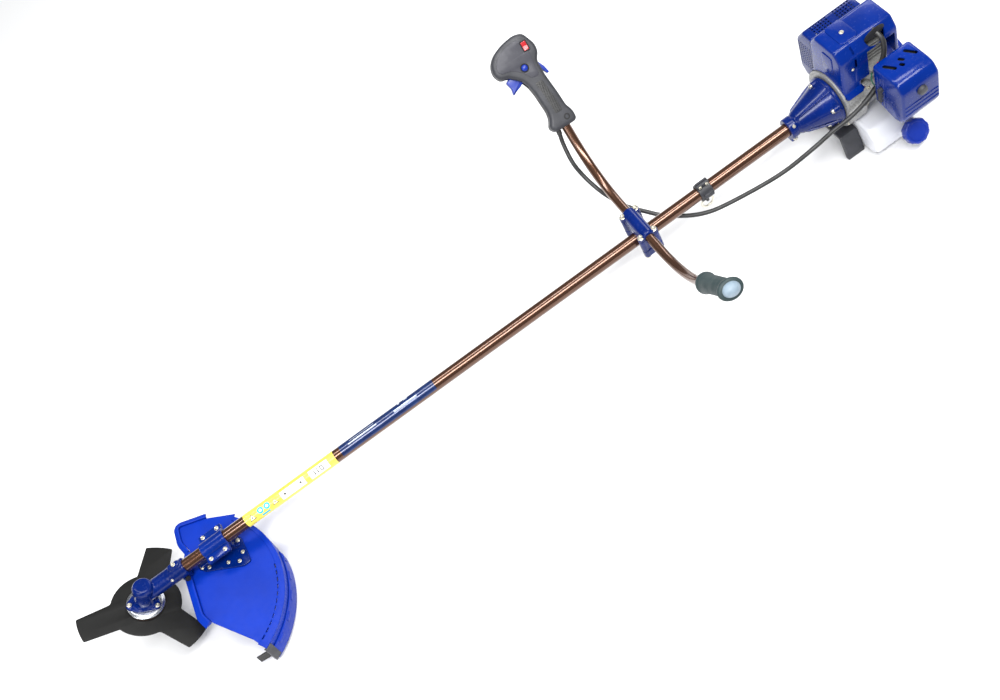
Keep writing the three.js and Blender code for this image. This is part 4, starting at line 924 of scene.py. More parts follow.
class BRUSHCUTTER_OT_guard(bpy.types.Operator):
    """Build the debris guard, its rim, its fixings and its black end"""

    bl_idname = "brushcutter.guard"
    bl_label = "Debris Guard"
    bl_options = {"REGISTER", "UNDO"}

    def execute(self, context):
        arc_points = rim(GUARD_RADIUS, GUARD_FROM, GUARD_TO, 48)
        front = rounded(guard_points(GUARD_FRONT), 7, 5, closed=False)
        plate = slab(np.concatenate([arc_points, front]), -3, 0, 0.9, 3)
        wall = band(GUARD_RADIUS - 3, GUARD_RADIUS, GUARD_FROM, GUARD_TO, -50, -0.5, 0.7, 56)
        t = np.linspace(0, 1, 49)
        inner = GUARD_RADIUS - 9 - 11 * (1 - t) ** 2
        angle = np.radians(GUARD_FROM + (GUARD_TO - GUARD_FROM) * t)
        edge_points = guard_points(np.stack([GUARD_CENTRE[0] + inner * np.cos(angle),
                                             GUARD_CENTRE[1] + inner * np.sin(angle)], -1))
        border = slab(np.concatenate([arc_points, edge_points[::-1]]), -1, 2.4, 1.1, 3, low_edge=0.1)
        lips = [ridge(rounded(guard_points([(102, 38), (89, 17), (81, -94), (89, -116)])[::-1], 6, 4,
            False), 15, 7),
                ridge(rounded(guard_points([(152, 92), (97, 105), (93, 71), (100, 44)])[::-1], 6, 4,
                    False), 11, 5)]
        slots = []
        for i in range(11):
            middle = GUARD_FROM + 5 + i * 4.6
            outer = GUARD_RADIUS - 10.5 - 4.5 * (1 - i / 11)
            slots.append(band(outer - 3, outer, middle - 1.5, middle + 1.5, -8, 8, 0.2, 4))
        piece("guard_moulding", [plate, wall, border, *lips], GUARD, FINISH["guard"], cuts=[slots],
              replaces=["debris_guard"])
        skirt = band(GUARD_RADIUS + 0.4, GUARD_RADIUS + 3, -56, 4, -54, -16, 0.7)
        hooks = [band(GUARD_RADIUS + 0.4, GUARD_RADIUS + 4.4, a, a + 5, -30, -20, 0.9, 4)
                 for a in (-50, -38, -26, -14, -2)]
        piece("skirt_strip", [skirt, *hooks], GUARD, FINISH["guard"], replaces=["guard_skirt"])
        end = band(GUARD_RADIUS - 4, GUARD_RADIUS + 3.4, GUARD_FROM - 1, GUARD_FROM + 3.4, -51, 0.8, 1.2, 6)
        piece("rim_tip", [end], GUARD, FINISH["black"])
        return {"FINISHED"}


class BRUSHCUTTER_OT_saddle(bpy.types.Operator):
    """Build the guard's saddle on the tube, its foot and their screws"""

    bl_idname = "brushcutter.saddle"
    bl_label = "Guard Saddle"
    bl_options = {"REGISTER", "UNDO"}

    def execute(self, context):
        upper = place(ring(TUBE_BORE, 17.2, 140, 192, 64, 1.0), ALONG_X)
        ears = brick(141, 191, -31, 31, 0.3, 4.2, 1.2)
        bead = place(ring(16.5, 18, 186, 192, 64, 0.6), ALONG_X)
        below = brick(130, 200, -45, 45, -40, 0.15, 0.1)
        bore = place(round_bar(TUBE_BORE, 139, 193, 48), ALONG_X)
        piece("saddle_cap", [upper, ears, bead], SHAFT, FINISH["cover"], cuts=[[below], [bore]],
              replaces=["guard_saddle"], angle=35)
        lower = place(ring(TUBE_BORE, 17.2, 140, 192, 64, 1.0), ALONG_X)
        wings = brick(141, 191, -31, 31, -4.2, -0.3, 1.2)
        above = brick(130, 200, -45, 45, -0.15, 40, 0.1)
        web = brick(148, 186, -7, 7, -46, -15, 1.5)
        piece("saddle_base", [lower, wings, web], SHAFT, FINISH["paint"], cuts=[[above], [bore]],
              replaces=["guard_bracket"], angle=35)
        foot = slab(rounded([(-62, -4), (-62, 12), (24, 24), (34, 10), (34, -46), (18, -48), (-52, -16)],
            5),
                    0.3, 4.0, 1.0)
        rib = slab(rounded([(-56, -6), (28, -6), (28, -1), (-56, -1)], 1.5), 3.5, 9, 1.2)
        piece("saddle_foot", [foot, rib], GUARD, FINISH["paint"])
        flat = [(-55, -5), (-42, -12), (-6, -24), (14, -34), (26, -20), (26, 8)]
        piece("guard_screws", [part for x, y in flat for part in bolt(x, y, 4, radius=3.3, height=2.6)],
              GUARD, FINISH["zinc"])
        corners = [(150, -25), (182, -25), (150, 25), (182, 25)]
        piece("saddle_screws", [part for x, y in corners for part in bolt(x, y, 4.2, radius=3.4, height=3)],
              SHAFT, FINISH["zinc"])
        return {"FINISHED"}


class BRUSHCUTTER_OT_clamp(bpy.types.Operator):
    """Build the handlebar clamp and its four bolts"""

    bl_idname = "brushcutter.clamp"
    bl_label = "Handlebar Clamp"
    bl_options = {"REGISTER", "UNDO"}

    def execute(self, context):
        sizes = context.scene.brush_cutter_sizes
        x = BAR["x"]
        spots = [(x + i * 14.2, j * 30.7) for i in (-1, 1) for j in (-1, 1)]

        def layer(name, node, low, high, half_x, half_y, extra, bores):
            lugs = [place(round_bar(6.8, low, high, 32, 1.4), shift(a, b, 0))
                    for a, b in spots]
            body = brick(x - half_x, x + half_x, -half_y, half_y, low, high, 3)
            piece(name, [body, *lugs, *extra], SHAFT, FINISH["paint"], cast=sizes.cast_grain / MM,
                  cuts=[bores], replaces=[node])

        bar_bore = place(round_bar(9.2, -60, 60, 40), shift(x, 0, 32) @ ALONG_Y)
        tube_bore = place(round_bar(TUBE_BORE, x - 40, x + 40, 48), ALONG_X)
        crown = place(round_bar(14.2, -37, 37, 48, 5), shift(x, 0, 32) @ ALONG_Y)
        layer("clamp_lower", "clamp_base", -20, -0.3, 15, 37, [], [tube_bore])
        layer("clamp_centre", "clamp_middle", 0.3, 31.7, 15, 36, [], [tube_bore])
        layer("clamp_crown", "clamp_cap", 32.3, 38, 13, 34, [crown],
            [bar_bore, brick(x - 25, x + 25, -50, 50, 8, 32.2, 0.1)])
        for i, (a, b) in enumerate([(1, 1), (1, -1), (-1, 1), (-1, -1)]):
            spot = (x + a * 14.2, b * 30.7)
            shank = place(round_bar(2.9, -26, 39, 20, 0.5), shift(*spot, 0))
            nut = place(slab(arc(5.4, 0, 300, 5), -25.5, -20.3, 0.8), shift(*spot, 0))
            piece(f"clamp_screw_{i + 1}", [*bolt(*spot, 38.3, radius=4.6, height=4.8), shank, nut], SHAFT,
                  FINISH["zinc"], replaces=[f"clamp_bolt_{i + 1}"])
        return {"FINISHED"}


class BRUSHCUTTER_OT_harness(bpy.types.Operator):
    """Build the harness clamp, its screws and its ring"""

    bl_idname = "brushcutter.harness"
    bl_label = "Harness Clamp"
    bl_options = {"REGISTER", "UNDO"}

    def execute(self, context):
        x = 1290
        sleeve = place(ring(13.1, 17.3, x - 13, x + 13, 56, 1.0), ALONG_X)
        ears = brick(x - 13, x + 13, -5.6, 5.6, 15, 25, 1.5)
        side = place(brick(x - 9, x + 9, -4, 4, 15, 24, 1.5), turn("X", 70))
        lug = place(slab(rounded([(-7, 15), (7, 15), (7, 28), (3, 32.3), (-3, 32.3), (-7, 28)], 3), -2.5,
            2.5, 0.8,
                         holes=[circle(3.6, 0, 24.8)]), shift(x, 0, 0) @ turn("X", 180) @ ALONG_X)
        bore = place(round_bar(13.1, x - 20, x + 20, 48), ALONG_X)
        slit = brick(x - 15, x + 15, -0.8, 0.8, 12, 30, 0.1)
        piece("harness_band", [sleeve, ears, side, lug], SHAFT, FINISH["black"], cuts=[[bore], [slit]],
              replaces=["harness_clamp"])
        screws = [part for dx in (-7, 7) for part in bolt_at((x + dx, -5.8, 20.5), (0, -1, 0), radius=2.8,
            height=2.4)]
        piece("harness_screws", screws, SHAFT, FINISH["zinc"])
        angle = np.linspace(0, 2 * math.pi, 72, endpoint=False)
        centre = -24.8 - 12
        path = np.stack([x + 12 * np.cos(angle), 0 * angle, centre + 12 * np.sin(angle)], -1)
        radial = path - (x, 0, centre)
        radial /= np.linalg.norm(radial, axis=1)[:, None]
        around = np.linspace(0, 2 * math.pi, 20, endpoint=False)
        rings = (path[:, None] + 2.2 * np.cos(around)[None, :, None] * radial[:, None]
                 + 2.2 * np.sin(around)[None, :, None] * np.array([0, 1, 0]))
        hoop = (rings.reshape(-1, 3), grid_faces(72, 20, close_rows=True))
        piece("ring_hoop", [hoop], SHAFT, FINISH["zinc"], "ring", ["harness_ring"])
        return {"FINISHED"}


class BRUSHCUTTER_OT_handlebar(bpy.types.Operator):
    """Build the bent handlebar and the left grip"""

    bl_idname = "brushcutter.handlebar"
    bl_label = "Handlebar"
    bl_options = {"REGISTER", "UNDO"}

    def execute(self, context):
        path = bar_point(np.linspace(-BAR["length"], BAR["length"], 161))
        piece("bar_tube", [tube(path, BAR_RADIUS, 40, up=(1, 0, 0))], SHAFT, FINISH["bronze"],
              replaces=["handlebar"])
        z = np.r_[0, 0.6, 2, 5, 9, np.linspace(12, 100, 90), 104, 107, 109.4, 112, 114.6, 117, 118.6, 119.4]
        bead = [15.5, 18.2, 19.2, 19, 17.2]
        flare = [17.2, 18.8, 21, 22.4, 22.6, 22.2, 21, 19.5]
        body = 16.2 + 0.32 * np.cos(2 * math.pi * z[5:-8] / 4.4)
        radius = np.r_[bead, body, flare]
        angle = np.linspace(0, 2 * math.pi, 56, endpoint=False)
        oval = np.interp(z, [0, 12, 100, 112], [1.0, 1.0, 0.94, 0.8])
        rings = np.stack([radius[:, None] * np.cos(angle), (radius * oval)[:, None] * np.sin(angle),
                          np.broadcast_to(z[:, None], (len(z), 56))], -1)
        piece("left_grip_rubber", [skin(rings)], LEFT, FINISH["grip"], replaces=["left_grip"])
        level = np.array([119.0, 121.6, 125.4, 128.6, 130.2])
        size = np.array([15.6, 15.2, 12.6, 7.4, 0])
        cap = np.stack([size[:, None] * np.cos(angle), 0.8 * size[:, None] * np.sin(angle),
                        np.broadcast_to(level[:, None], (5, 56))], -1)
        base = np.array([[0, 0, 118.4]] * 56)[None]
        piece("left_grip_end", [(np.concatenate([base, cap]).reshape(-1, 3), grid_faces(6, 56))], LEFT,
              FINISH["grip_end"])
        return {"FINISHED"}


class BRUSHCUTTER_OT_handle(bpy.types.Operator):
    """Build the control handle: two shells, a textured grip, trigger, lock, button and switch"""

    bl_idname = "brushcutter.handle"
    bl_label = "Control Handle"
    bl_options = {"REGISTER", "UNDO"}

    def execute(self, context):
        sizes = context.scene.brush_cutter_sizes
        outline = rounded(HANDLE_OUTLINE, 10, 5)
        cuts = [[place(slab(np.array(TRIGGER_POCKET, float), -7.5, 7.5), ALONG_Y)],
                [place(slab(np.array(LOCK_POCKET, float), -6, 6), ALONG_Y)],
                [place(round_bar(6.9, -24, -6, 32),
                    shift(BUTTON[0], 0, BUTTON[1]) @ ALONG_Y)],
                [brick(ROCKER[0] - 5.5, ROCKER[0] + 5.5, 7, 24, ROCKER[1] - 9, ROCKER[1] + 9, 0.3)]]
        inner = place(slab(outline, -HANDLE_HALF, -0.15, 0.3, 6, low_edge=7), ALONG_Y)
        outer = place(slab(outline, 0.15, HANDLE_HALF, 7, 6, low_edge=0.3), ALONG_Y)
        piece("handle_inner", [inner], RIGHT, FINISH["black"], cuts=cuts,
              replaces=["handle_shell_inner"], angle=50)
        piece("handle_outer", [outer], RIGHT, FINISH["black"], cuts=cuts[:2],
              replaces=["handle_shell_outer"], angle=50)
        panel = slab(rounded(HANDLE_FACE, 7, 4), -HANDLE_HALF - 0.7, -HANDLE_HALF + 0.5, 0.1, 2,
                     low_edge=0.6, holes=[circle(8.2, *BUTTON),
                         rounded([(ROCKER[0] + a * 6.4, ROCKER[1] + b * 10)
                                          for a, b in ((-1, -1), (1, -1), (1, 1), (-1, 1))], 1.5, 3)])
        piece("handle_panel", [place(panel, ALONG_Y)], RIGHT, FINISH["face"])
        # The collar, the screw hole's ring and the switch's bezel are rims coloured near-black as painted
        # shade of the gaps round the button, the screw and the switch.
        collar = place(ring(6.7, 8.2, -16.4, -14.6, 40, 0.3), shift(BUTTON[0], 0, BUTTON[1]) @ ALONG_Y)
        square = [(-1, -1), (1, -1), (1, 1), (-1, 1)]
        bezel = slab(rounded([(a * 6.6, b * 10.2) for a, b in square], 1.5, 3), -16.6, -14.6, 0.5, 2,
                     holes=[rounded([(a * 5.2, b * 8.7) for a, b in square], 0.8, 3)])
        screw_well = place(ring(3.4, 6, -15.7, -14, 32, 0.4), shift(-8, 0, 15) @ ALONG_Y)
        piece("handle_rims_shade", [collar, screw_well, place(bezel, shift(ROCKER[0], 0, ROCKER[1]) @ ALONG_Y)],
              RIGHT, FINISH["painted_shade"])
        z = np.linspace(30, 97, 150)
        left = np.interp(z, [20, 34, 60, 104], [-25, -19, -18, -14])
        right = np.interp(z, [26, 40, 80, 98], [22, 19, 21, 24])
        angle = np.linspace(0, 2 * math.pi, 150, endpoint=False)
        c, s = np.cos(angle), np.sin(angle)
        power = (np.abs(c) ** 2.5 + np.abs(s) ** 2.5) ** (-1 / 2.5)
        fade = np.clip(np.minimum(z - 30, 97 - z) / 3, 0, 1)
        weave = np.abs(np.sin(13 * angle[None] + 0.8 * z[:, None])) * np.abs(np.sin(13 * angle[None]
            - 0.8 * z[:, None]))
        relief = 0.3 + sizes.grip_relief / MM * fade[:, None] * weave
        half = (right - left) / 2
        rings = np.stack([(left + half)[:, None] + (half[:, None] + relief) * (c * power),
                          (HANDLE_HALF + relief) * (s * power), np.broadcast_to(z[:, None],
                              (150, 150))], -1)
        piece("grip_sleeve", [skin(rings)], RIGHT, FINISH["rubber"], angle=70)
        trigger = place(slab(rounded(TRIGGER, 4, 4), -6.4, 6.4, 2.2), ALONG_Y)
        piece("trigger_blade", [trigger], RIGHT, FINISH["blue"], "trigger", ["throttle_trigger"])
        lever = place(slab(rounded(LOCK, 2, 3), -5, 5, 0.8), ALONG_Y)
        piece("lock_blade", [lever], RIGHT, FINISH["blue"], "lock_lever", ["trigger_lock"])
        dome = lathe([(0, -19.4), (2.8, -19.2), (5, -18.2), (6.2, -16.4), (6.4, -14), (6.4, -10),
            (0, -10)], 40)
        piece("button_dome", [place(dome, shift(BUTTON[0], 0, BUTTON[1]) @ ALONG_Y)], RIGHT, FINISH["blue"],
              "button", ["hold_button"])
        low, high = ROCKER[1] - 8.3, ROCKER[1] + 8.3
        wave = rounded([(12, low), (17.6, low), (16.2, ROCKER[1]), (17.6, high), (12, high)], 0.9, 3)
        rocker = place(slab(wave, -4.8, 4.8, 0.5, 3), shift(ROCKER[0], 0, 0) @ ALONG_X)
        piece("rocker_cap", [rocker], RIGHT, FINISH["red"], "switch", ["stop_switch"])
        return {"FINISHED"}


class BRUSHCUTTER_OT_cable(bpy.types.Operator):
    """Build the throttle cable's sheath and its end sleeves"""

    bl_idname = "brushcutter.cable"
    bl_label = "Throttle Cable"
    bl_options = {"REGISTER", "UNDO"}

    def execute(self, context):
        path = spline(CABLE_ROUTE, 9)
        ends = [tube(path[:12], CABLE_RADIUS + 0.8, 20, up=(1, 0, 0)),
            tube(path[-12:], CABLE_RADIUS + 0.8, 20)]
        piece("cable_sheath", [tube(path, CABLE_RADIUS, 20, up=(0.5, 0.3, 0.8)), *ends], SHAFT,
            FINISH["rubber"],
              replaces=["throttle_cable"])
        return {"FINISHED"}


class BRUSHCUTTER_OT_clutch(bpy.types.Operator):
    """Build the clutch housing's cone, its ribs and its screws"""

    bl_idname = "brushcutter.clutch"
    bl_label = "Clutch Housing"
    bl_options = {"REGISTER", "UNDO"}

    def execute(self, context):
        cone = lathe([(13.1, 1477), (21, 1477), (21, 1492), (19.5, 1494.5), (23, 1500), (39, 1550),
            (45.5, 1566),
                      (49, 1567), (49, 1573), (43, 1573), (35.5, 1545), (17, 1532), (13.1, 1520),
                      (13.1, 1477)], 96, 2.2)
        rib = slab(rounded([(1499, 20), (1550, 37.6), (1568, 43), (1568, 47), (1547, 42), (1505, 27)], 3),
            -2.2, 2.2, 1.2)
        ribs = [place(rib, turn("X", a) @ ALONG_Y) for a in (20, 110, 200, 290)]
        boss = lathe([(0, 1554), (6, 1554), (7, 1567), (0, 1567)], 28, 1.5)
        spots = [(43 * math.cos(math.radians(a)), 43 * math.sin(math.radians(a))) for a in (62, 155, 242,
            335)]
        bosses = [place(boss, shift(0, y, z) @ ALONG_X) for y, z in spots]
        lug = brick(1478, 1492, -11, 11, -29, -14, 2)
        slit = brick(1476, 1494, -0.9, 0.9, -31, -10, 0.1)
        piece("clutch_cone", [place(cone, ALONG_X), *ribs, *bosses, lug], SHAFT, FINISH["paint"],
              cuts=[[slit]], replaces=["clutch_housing"], angle=35)
        screws = [part for y, z in spots for part in bolt_at((1554, y, z), (-1, 0, 0), radius=3.8,
            height=4)]
        screws += bolt_at((1485, -11, -22), (0, -1, 0), radius=3.4, height=3.4)
        screws += bolt_at((1486, -14, 15.5), (0, -0.7, 0.7), radius=2.6, height=2)
        piece("clutch_screws", screws, SHAFT, FINISH["zinc"])
        return {"FINISHED"}


class BRUSHCUTTER_OT_block(bpy.types.Operator):
    """Build the fan housing, the crankcase skin and their screws"""

    bl_idname = "brushcutter.block"
    bl_label = "Engine Block"
    bl_options = {"REGISTER", "UNDO"}

    def execute(self, context):
        shell = lathe([(36, 1574), (60, 1574), (60, 1611), (56.5, 1611), (56.5, 1577.5), (36, 1577.5),
                       (36, 1574)], 96, 1.2)
        window = brick(1578.5, 1613, -46, 46, 30, 90, 0.1)
        vents = [place(brick(1570, 1582, -2.2, 2.2, 40, 54, 0.8), turn("X", a)) for a in range(100, 260,
            14)]
        piece("fan_shell", [place(shell, ALONG_X)], SHAFT, FINISH["alloy"], cuts=[[window], vents],
              replaces=["fan_housing"])
        block = bpy.data.objects.new("crankcase_casting", frame["nodes"]["crankcase"].data.copy())
        bpy.context.scene.collection.objects.link(block)
        work = bmesh.new()
        work.from_mesh(block.data)
        bmesh.ops.remove_doubles(work, verts=work.verts, dist=1e-6)
        work.to_mesh(block.data)
        work.free()
        melt = block.modifiers.new("melt", "REMESH")
        melt.mode, melt.voxel_size = "VOXEL", 1.1 * MM
        soften = block.modifiers.new("soften", "SMOOTH")
        soften.factor, soften.iterations = 0.5, 4
        bpy.context.view_layer.update()
        applied(block)
        shade(block.data, 50)
        looks(block, "alloy")
        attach(block, "machine")
        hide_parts("crankcase")
        pads = [brick(1613, 1671, -42, -36, -26, -14, 1.5), brick(1614, 1634, -44, -34, 14, 34, 2),
                brick(1613, 1671, 36, 42, -26, -14, 1.5)]
        pads += [brick(1612.5, 1616, -46, 46, -34, -30, 1), brick(1612.5, 1616, -50, -40, -30, 12, 1)]
        piece("case_pads", pads, SHAFT, FINISH["alloy"])
        screws = []
        for x, y, z, facing in ((1619, -44, 29, (0, -1, 0)), (1629, -44, 19, (0, -1, 0)),
                                (1621, -42, -20, (0, -1, 0)), (1663, -42, -20, (0, -1, 0)),
                                (1621, 42, -20, (0, 1, 0)), (1663, 42, -20, (0, 1, 0))):
            screws += bolt_at((x, y, z), facing, radius=3.6, height=3.6)
        for a in (208, 250, 290, 332):
            y, z = 57 * math.cos(math.radians(a)), 57 * math.sin(math.radians(a))
            screws += bolt_at((1574, y, z), (-1, 0, 0), radius=2.6, height=2.2)
        piece("block_screws", screws, SHAFT, FINISH["zinc"])
        return {"FINISHED"}


class BRUSHCUTTER_OT_cowl(bpy.types.Operator):
    """Build the cowl over the cylinder, its raised panel, its screw and the plug's boot"""

    bl_idname = "brushcutter.cowl"
    bl_label = "Cylinder Cover"
    bl_options = {"REGISTER", "UNDO"}

    def execute(self, context):
        sizes = context.scene.brush_cutter_sizes
        edge, wall = sizes.paint_edge / MM, 2.5
        left, right, top, drum = -46, 41, 144, 64

        def wide(o, bottom):
            root = math.sqrt((drum - o) ** 2 - bottom ** 2)
            return np.concatenate([[(root, bottom)], arc(drum - o, 38, 45, 3), [(right - o, 92),
                                   (right - o, top - 22 - o / 2), (right - 16 - o, top - o),
                                   (left + 16 + o, top - o), (left + o, top - 22 - o / 2), (left + o, 92)],
                                   arc(drum - o, 135, 142, 3), [(-root, bottom)]])

        def narrow(o, bottom):
            return [(right - o, bottom), (right - o, top - 22 - o / 2), (right - 16 - o, top - o),
                    (left + 16 + o, top - o), (left + o, top - 22 - o / 2), (left + o, bottom)]

        front = place(slab(rounded(wide(0, 34), 5), COWL_FRONT, 1616, edge, 5), ALONG_X)
        rear = place(slab(rounded(narrow(0, 52), 6), 1600, COWL_REAR, edge, 5), ALONG_X)
        hollow = [place(slab(wide(wall, 20), COWL_FRONT + wall, 1616 - wall), ALONG_X)]
        hollow_rear = [place(slab(np.array(narrow(wall, 30), float), 1612, COWL_REAR - wall), ALONG_X)]
        side = [brick(1632, 1690, -90, -26, 46, 114, 2), brick(1594, 1690, 20, 60, 46, 100, 2)]
        notch = [place(round_bar(21, -14, 30, 48, 3), towards(*PLUG_WELL))]
        mouth = [place(round_bar(61, 1570, 1581, 64), ALONG_X)]
        back = [place(round_bar(59, 1675.7, 1705, 64), ALONG_X)]
        piece("cowl_front", [front], SHAFT, FINISH["cover"], cuts=[hollow, mouth],
            angle=30)
        piece("cowl_top", [rear], SHAFT, FINISH["cover"], cuts=[hollow_rear, side, notch, back],
              replaces=["cylinder_cover"], angle=30)
        panel = slab(rounded([(1598, -26), (1634, -26), (1634, 26), (1598, 26)], 8, 4), top - 2,
            top + 1.6, 1.4)
        slope = slab(rounded([(-22, -14), (22, -14), (22, 14), (-22, 14)], 7, 4), -2, 1.4, 1.2)
        piece("cowl_panel", [panel, place(slope, shift(1576.8, -8, 104) @ turn("Y", -90))], SHAFT,
            FINISH["cover"])
        screws = bolt_at((1616, -2, top + 1.4), (0, 0, 1), radius=3.4, height=2.4)
        screws += bolt_at((1600, -47, 98), (0, -1, 0), radius=2.4, height=1.6)
        piece("cowl_screws", screws, SHAFT, FINISH["zinc"])
        # A thin disc on the floor of the plug's notch, coloured near-black as painted shade in the recess.
        well_shade = place(round_bar(20.4, -13, -11.5, 48, 0.5), towards(*PLUG_WELL))
        piece("plug_well_shade_disc", [well_shade], SHAFT, FINISH["painted_shade"])
        head = lathe([(0, 0), (8.6, 0), (9.6, 8), (10.4, 14), (8.4, 22), (4.5, 25.6), (0, 26.4)], 40, 2)
        foot = (1650, -6, 113)
        lead = spline([(1650, -6, 131), (1654, -18, 136), (1660, -34, 134), (1662, -50, 124),
            (1658, -58, 106),
                       (1650, -60, 88), (1642, -56, 70)], 8)
        piece("plug_cap", [place(head, shift(*foot)), tube(lead, 4.6, 20, up=(1, 0.2, 0)),
                           tube(lead[:18], 6.8, 24, up=(1, 0.2, 0))], SHAFT, FINISH["rubber"],
              replaces=["plug_boot"])
        wires = {"red_wire": ([(1642, -58, 42), (1632, -64, 52), (1628, -66, 66), (1636, -60, 78),
            (1646, -54, 82)]),
                 "green_wire": ([(1640, -60, 38), (1628, -66, 44), (1624, -62, 58), (1630, -56, 70)])}
        for name, route in wires.items():
            piece(name, [tube(spline(route, 7), 1.2, 12, up=(1, 0.3, 0.1))], SHAFT, FINISH[name])
        return {"FINISHED"}


class BRUSHCUTTER_OT_muffler_cover(bpy.types.Operator):
    """Build the muffler's perforated cover"""

    bl_idname = "brushcutter.muffler_cover"
    bl_label = "Muffler Cover"
    bl_options = {"REGISTER", "UNDO"}

    def execute(self, context):
        sizes = context.scene.brush_cutter_sizes
        edge, wall = sizes.paint_edge / MM, 2.2
        near, far, low, high = 46, 98, -8, 112

        def outline(o, open_by):
            return [(near - open_by, low + o), (far - 16 - o / 2, low + o), (far - o, low + 18 + o / 2),
                    (far - o, high - 30 - o / 2), (far - 22 - o / 2, high - o), (near - open_by, high - o)]

        shell = place(slab(rounded(outline(0, 0), 6), 1585, 1697, edge, 5), ALONG_X)
        hollow = place(slab(rounded(outline(wall, 8), 4), 1585 + wall, 1697 - wall, 2), ALONG_X)
        drum = place(round_bar(65, 1570, 1725, 64), ALONG_X)
        size = 1.7
        top_holes = [brick(x - size, x + size, y - size, y + size, high - 6, high + 6, 0.3)
                     for x in np.arange(1602, 1684, 6.2) for y in np.arange(54, 74,
                         6.2) if not 1636 < x < 1650]
        face_holes = [brick(1578, 1592, y - size, y + size, z - size, z + size, 0.3)
                      for y in np.arange(58, 90, 6.2) for z in np.arange(24, 86, 6.2)]
        side_holes = [brick(x - 2.6, x + 2.6, far - 8, far + 8, 22, 72, 0.5) for x in np.arange(1604,
            1690, 12)]
        slope_holes = [place(brick(x - size, x + size, -size, size, -8, 8, 0.3),
                             shift(0, 87 + d * 0.6, 97 - d * 0.8) @ turn("X", -54))
                       for x in np.arange(1602, 1684, 6.2) for d in (-9, -2.8, 3.4)]
        piece("muffler_shield", [shell], SHAFT, FINISH["paint"],
              cuts=[[hollow], [drum], top_holes, face_holes, side_holes, slope_holes],
              replaces=["muffler_cover"], angle=30)
        return {"FINISHED"}


class BRUSHCUTTER_OT_filter(bpy.types.Operator):
    """Build the air filter's cover, its ribs and its knob"""

    bl_idname = "brushcutter.filter"
    bl_label = "Air Filter Cover"
    bl_options = {"REGISTER", "UNDO"}

    def execute(self, context):
        sizes = context.scene.brush_cutter_sizes
        edge, wall = sizes.paint_edge / MM, 2.4
        near, far, low, high = -69, -147, 0, 106

        def outline(o, open_by):
            return [(near + open_by, low + 14 + o), (near + open_by, high - o), (far + 26, high - o),
                    (far + 12 + o, high - 4 - o), (far + o, high - 20), (far + o, low + 22),
                    (far + 8 + o, low + 6 + o), (far + 24 + o, low + o)]

        shell = place(slab(rounded(outline(0, 0), 6), 1622, 1700, edge, 5), ALONG_X)
        hollow = place(slab(rounded(outline(wall, 6), 3), 1622 + wall, 1700 - wall, 2), ALONG_X)

        def slot(x, y, length, width):
            half = length / 2 - width / 2
            outline_ = np.concatenate([arc(width / 2, 90, 270, 8, (-half, 0)),
                arc(width / 2, -90, 90, 8, (half, 0))])
            return place(slab(outline_, high - 8, high + 8), shift(x, y, 0) @ turn("Z", -58))

        slots = [slot(1640, -94, 25, 7), slot(1658, -104, 10, 7), slot(1664, -94, 12, 7),
            slot(1685, -92, 25, 7)]
        grooves = [place(round_bar(2.2, low - 4, 88, 20), shift(1620.6, y, 0))
                   for y in (-82, -90, -98)]
        piece("filter_shell", [shell], SHAFT, FINISH["cover"], cuts=[[hollow], slots, grooves],
              replaces=["air_filter_cover"], angle=30)
        rails = [brick(1626, 1696, far - 1.4, far + 3, z - 1.2, z + 1.2, 0.8) for z in (30, 40, 50)]
        piece("filter_rails", rails, SHAFT, FINISH["cover"])
        knob = lathe([(0, 0), (9, 0), (9.5, 3), (8, 8), (0, 9)], 40, 1)
        piece("filter_knob", [place(knob, towards((1661, far + 1, 74), (0, -1, 0)))], SHAFT,
            FINISH["black"])
        # A sponge filling the filter, coloured near-black as painted shade seen through the slots.
        sponge_shade = brick(1627, 1695, -96, -74, 12, 98, 3)
        piece("filter_sponge_shade", [sponge_shade], SHAFT, FINISH["painted_shade"])
        return {"FINISHED"}


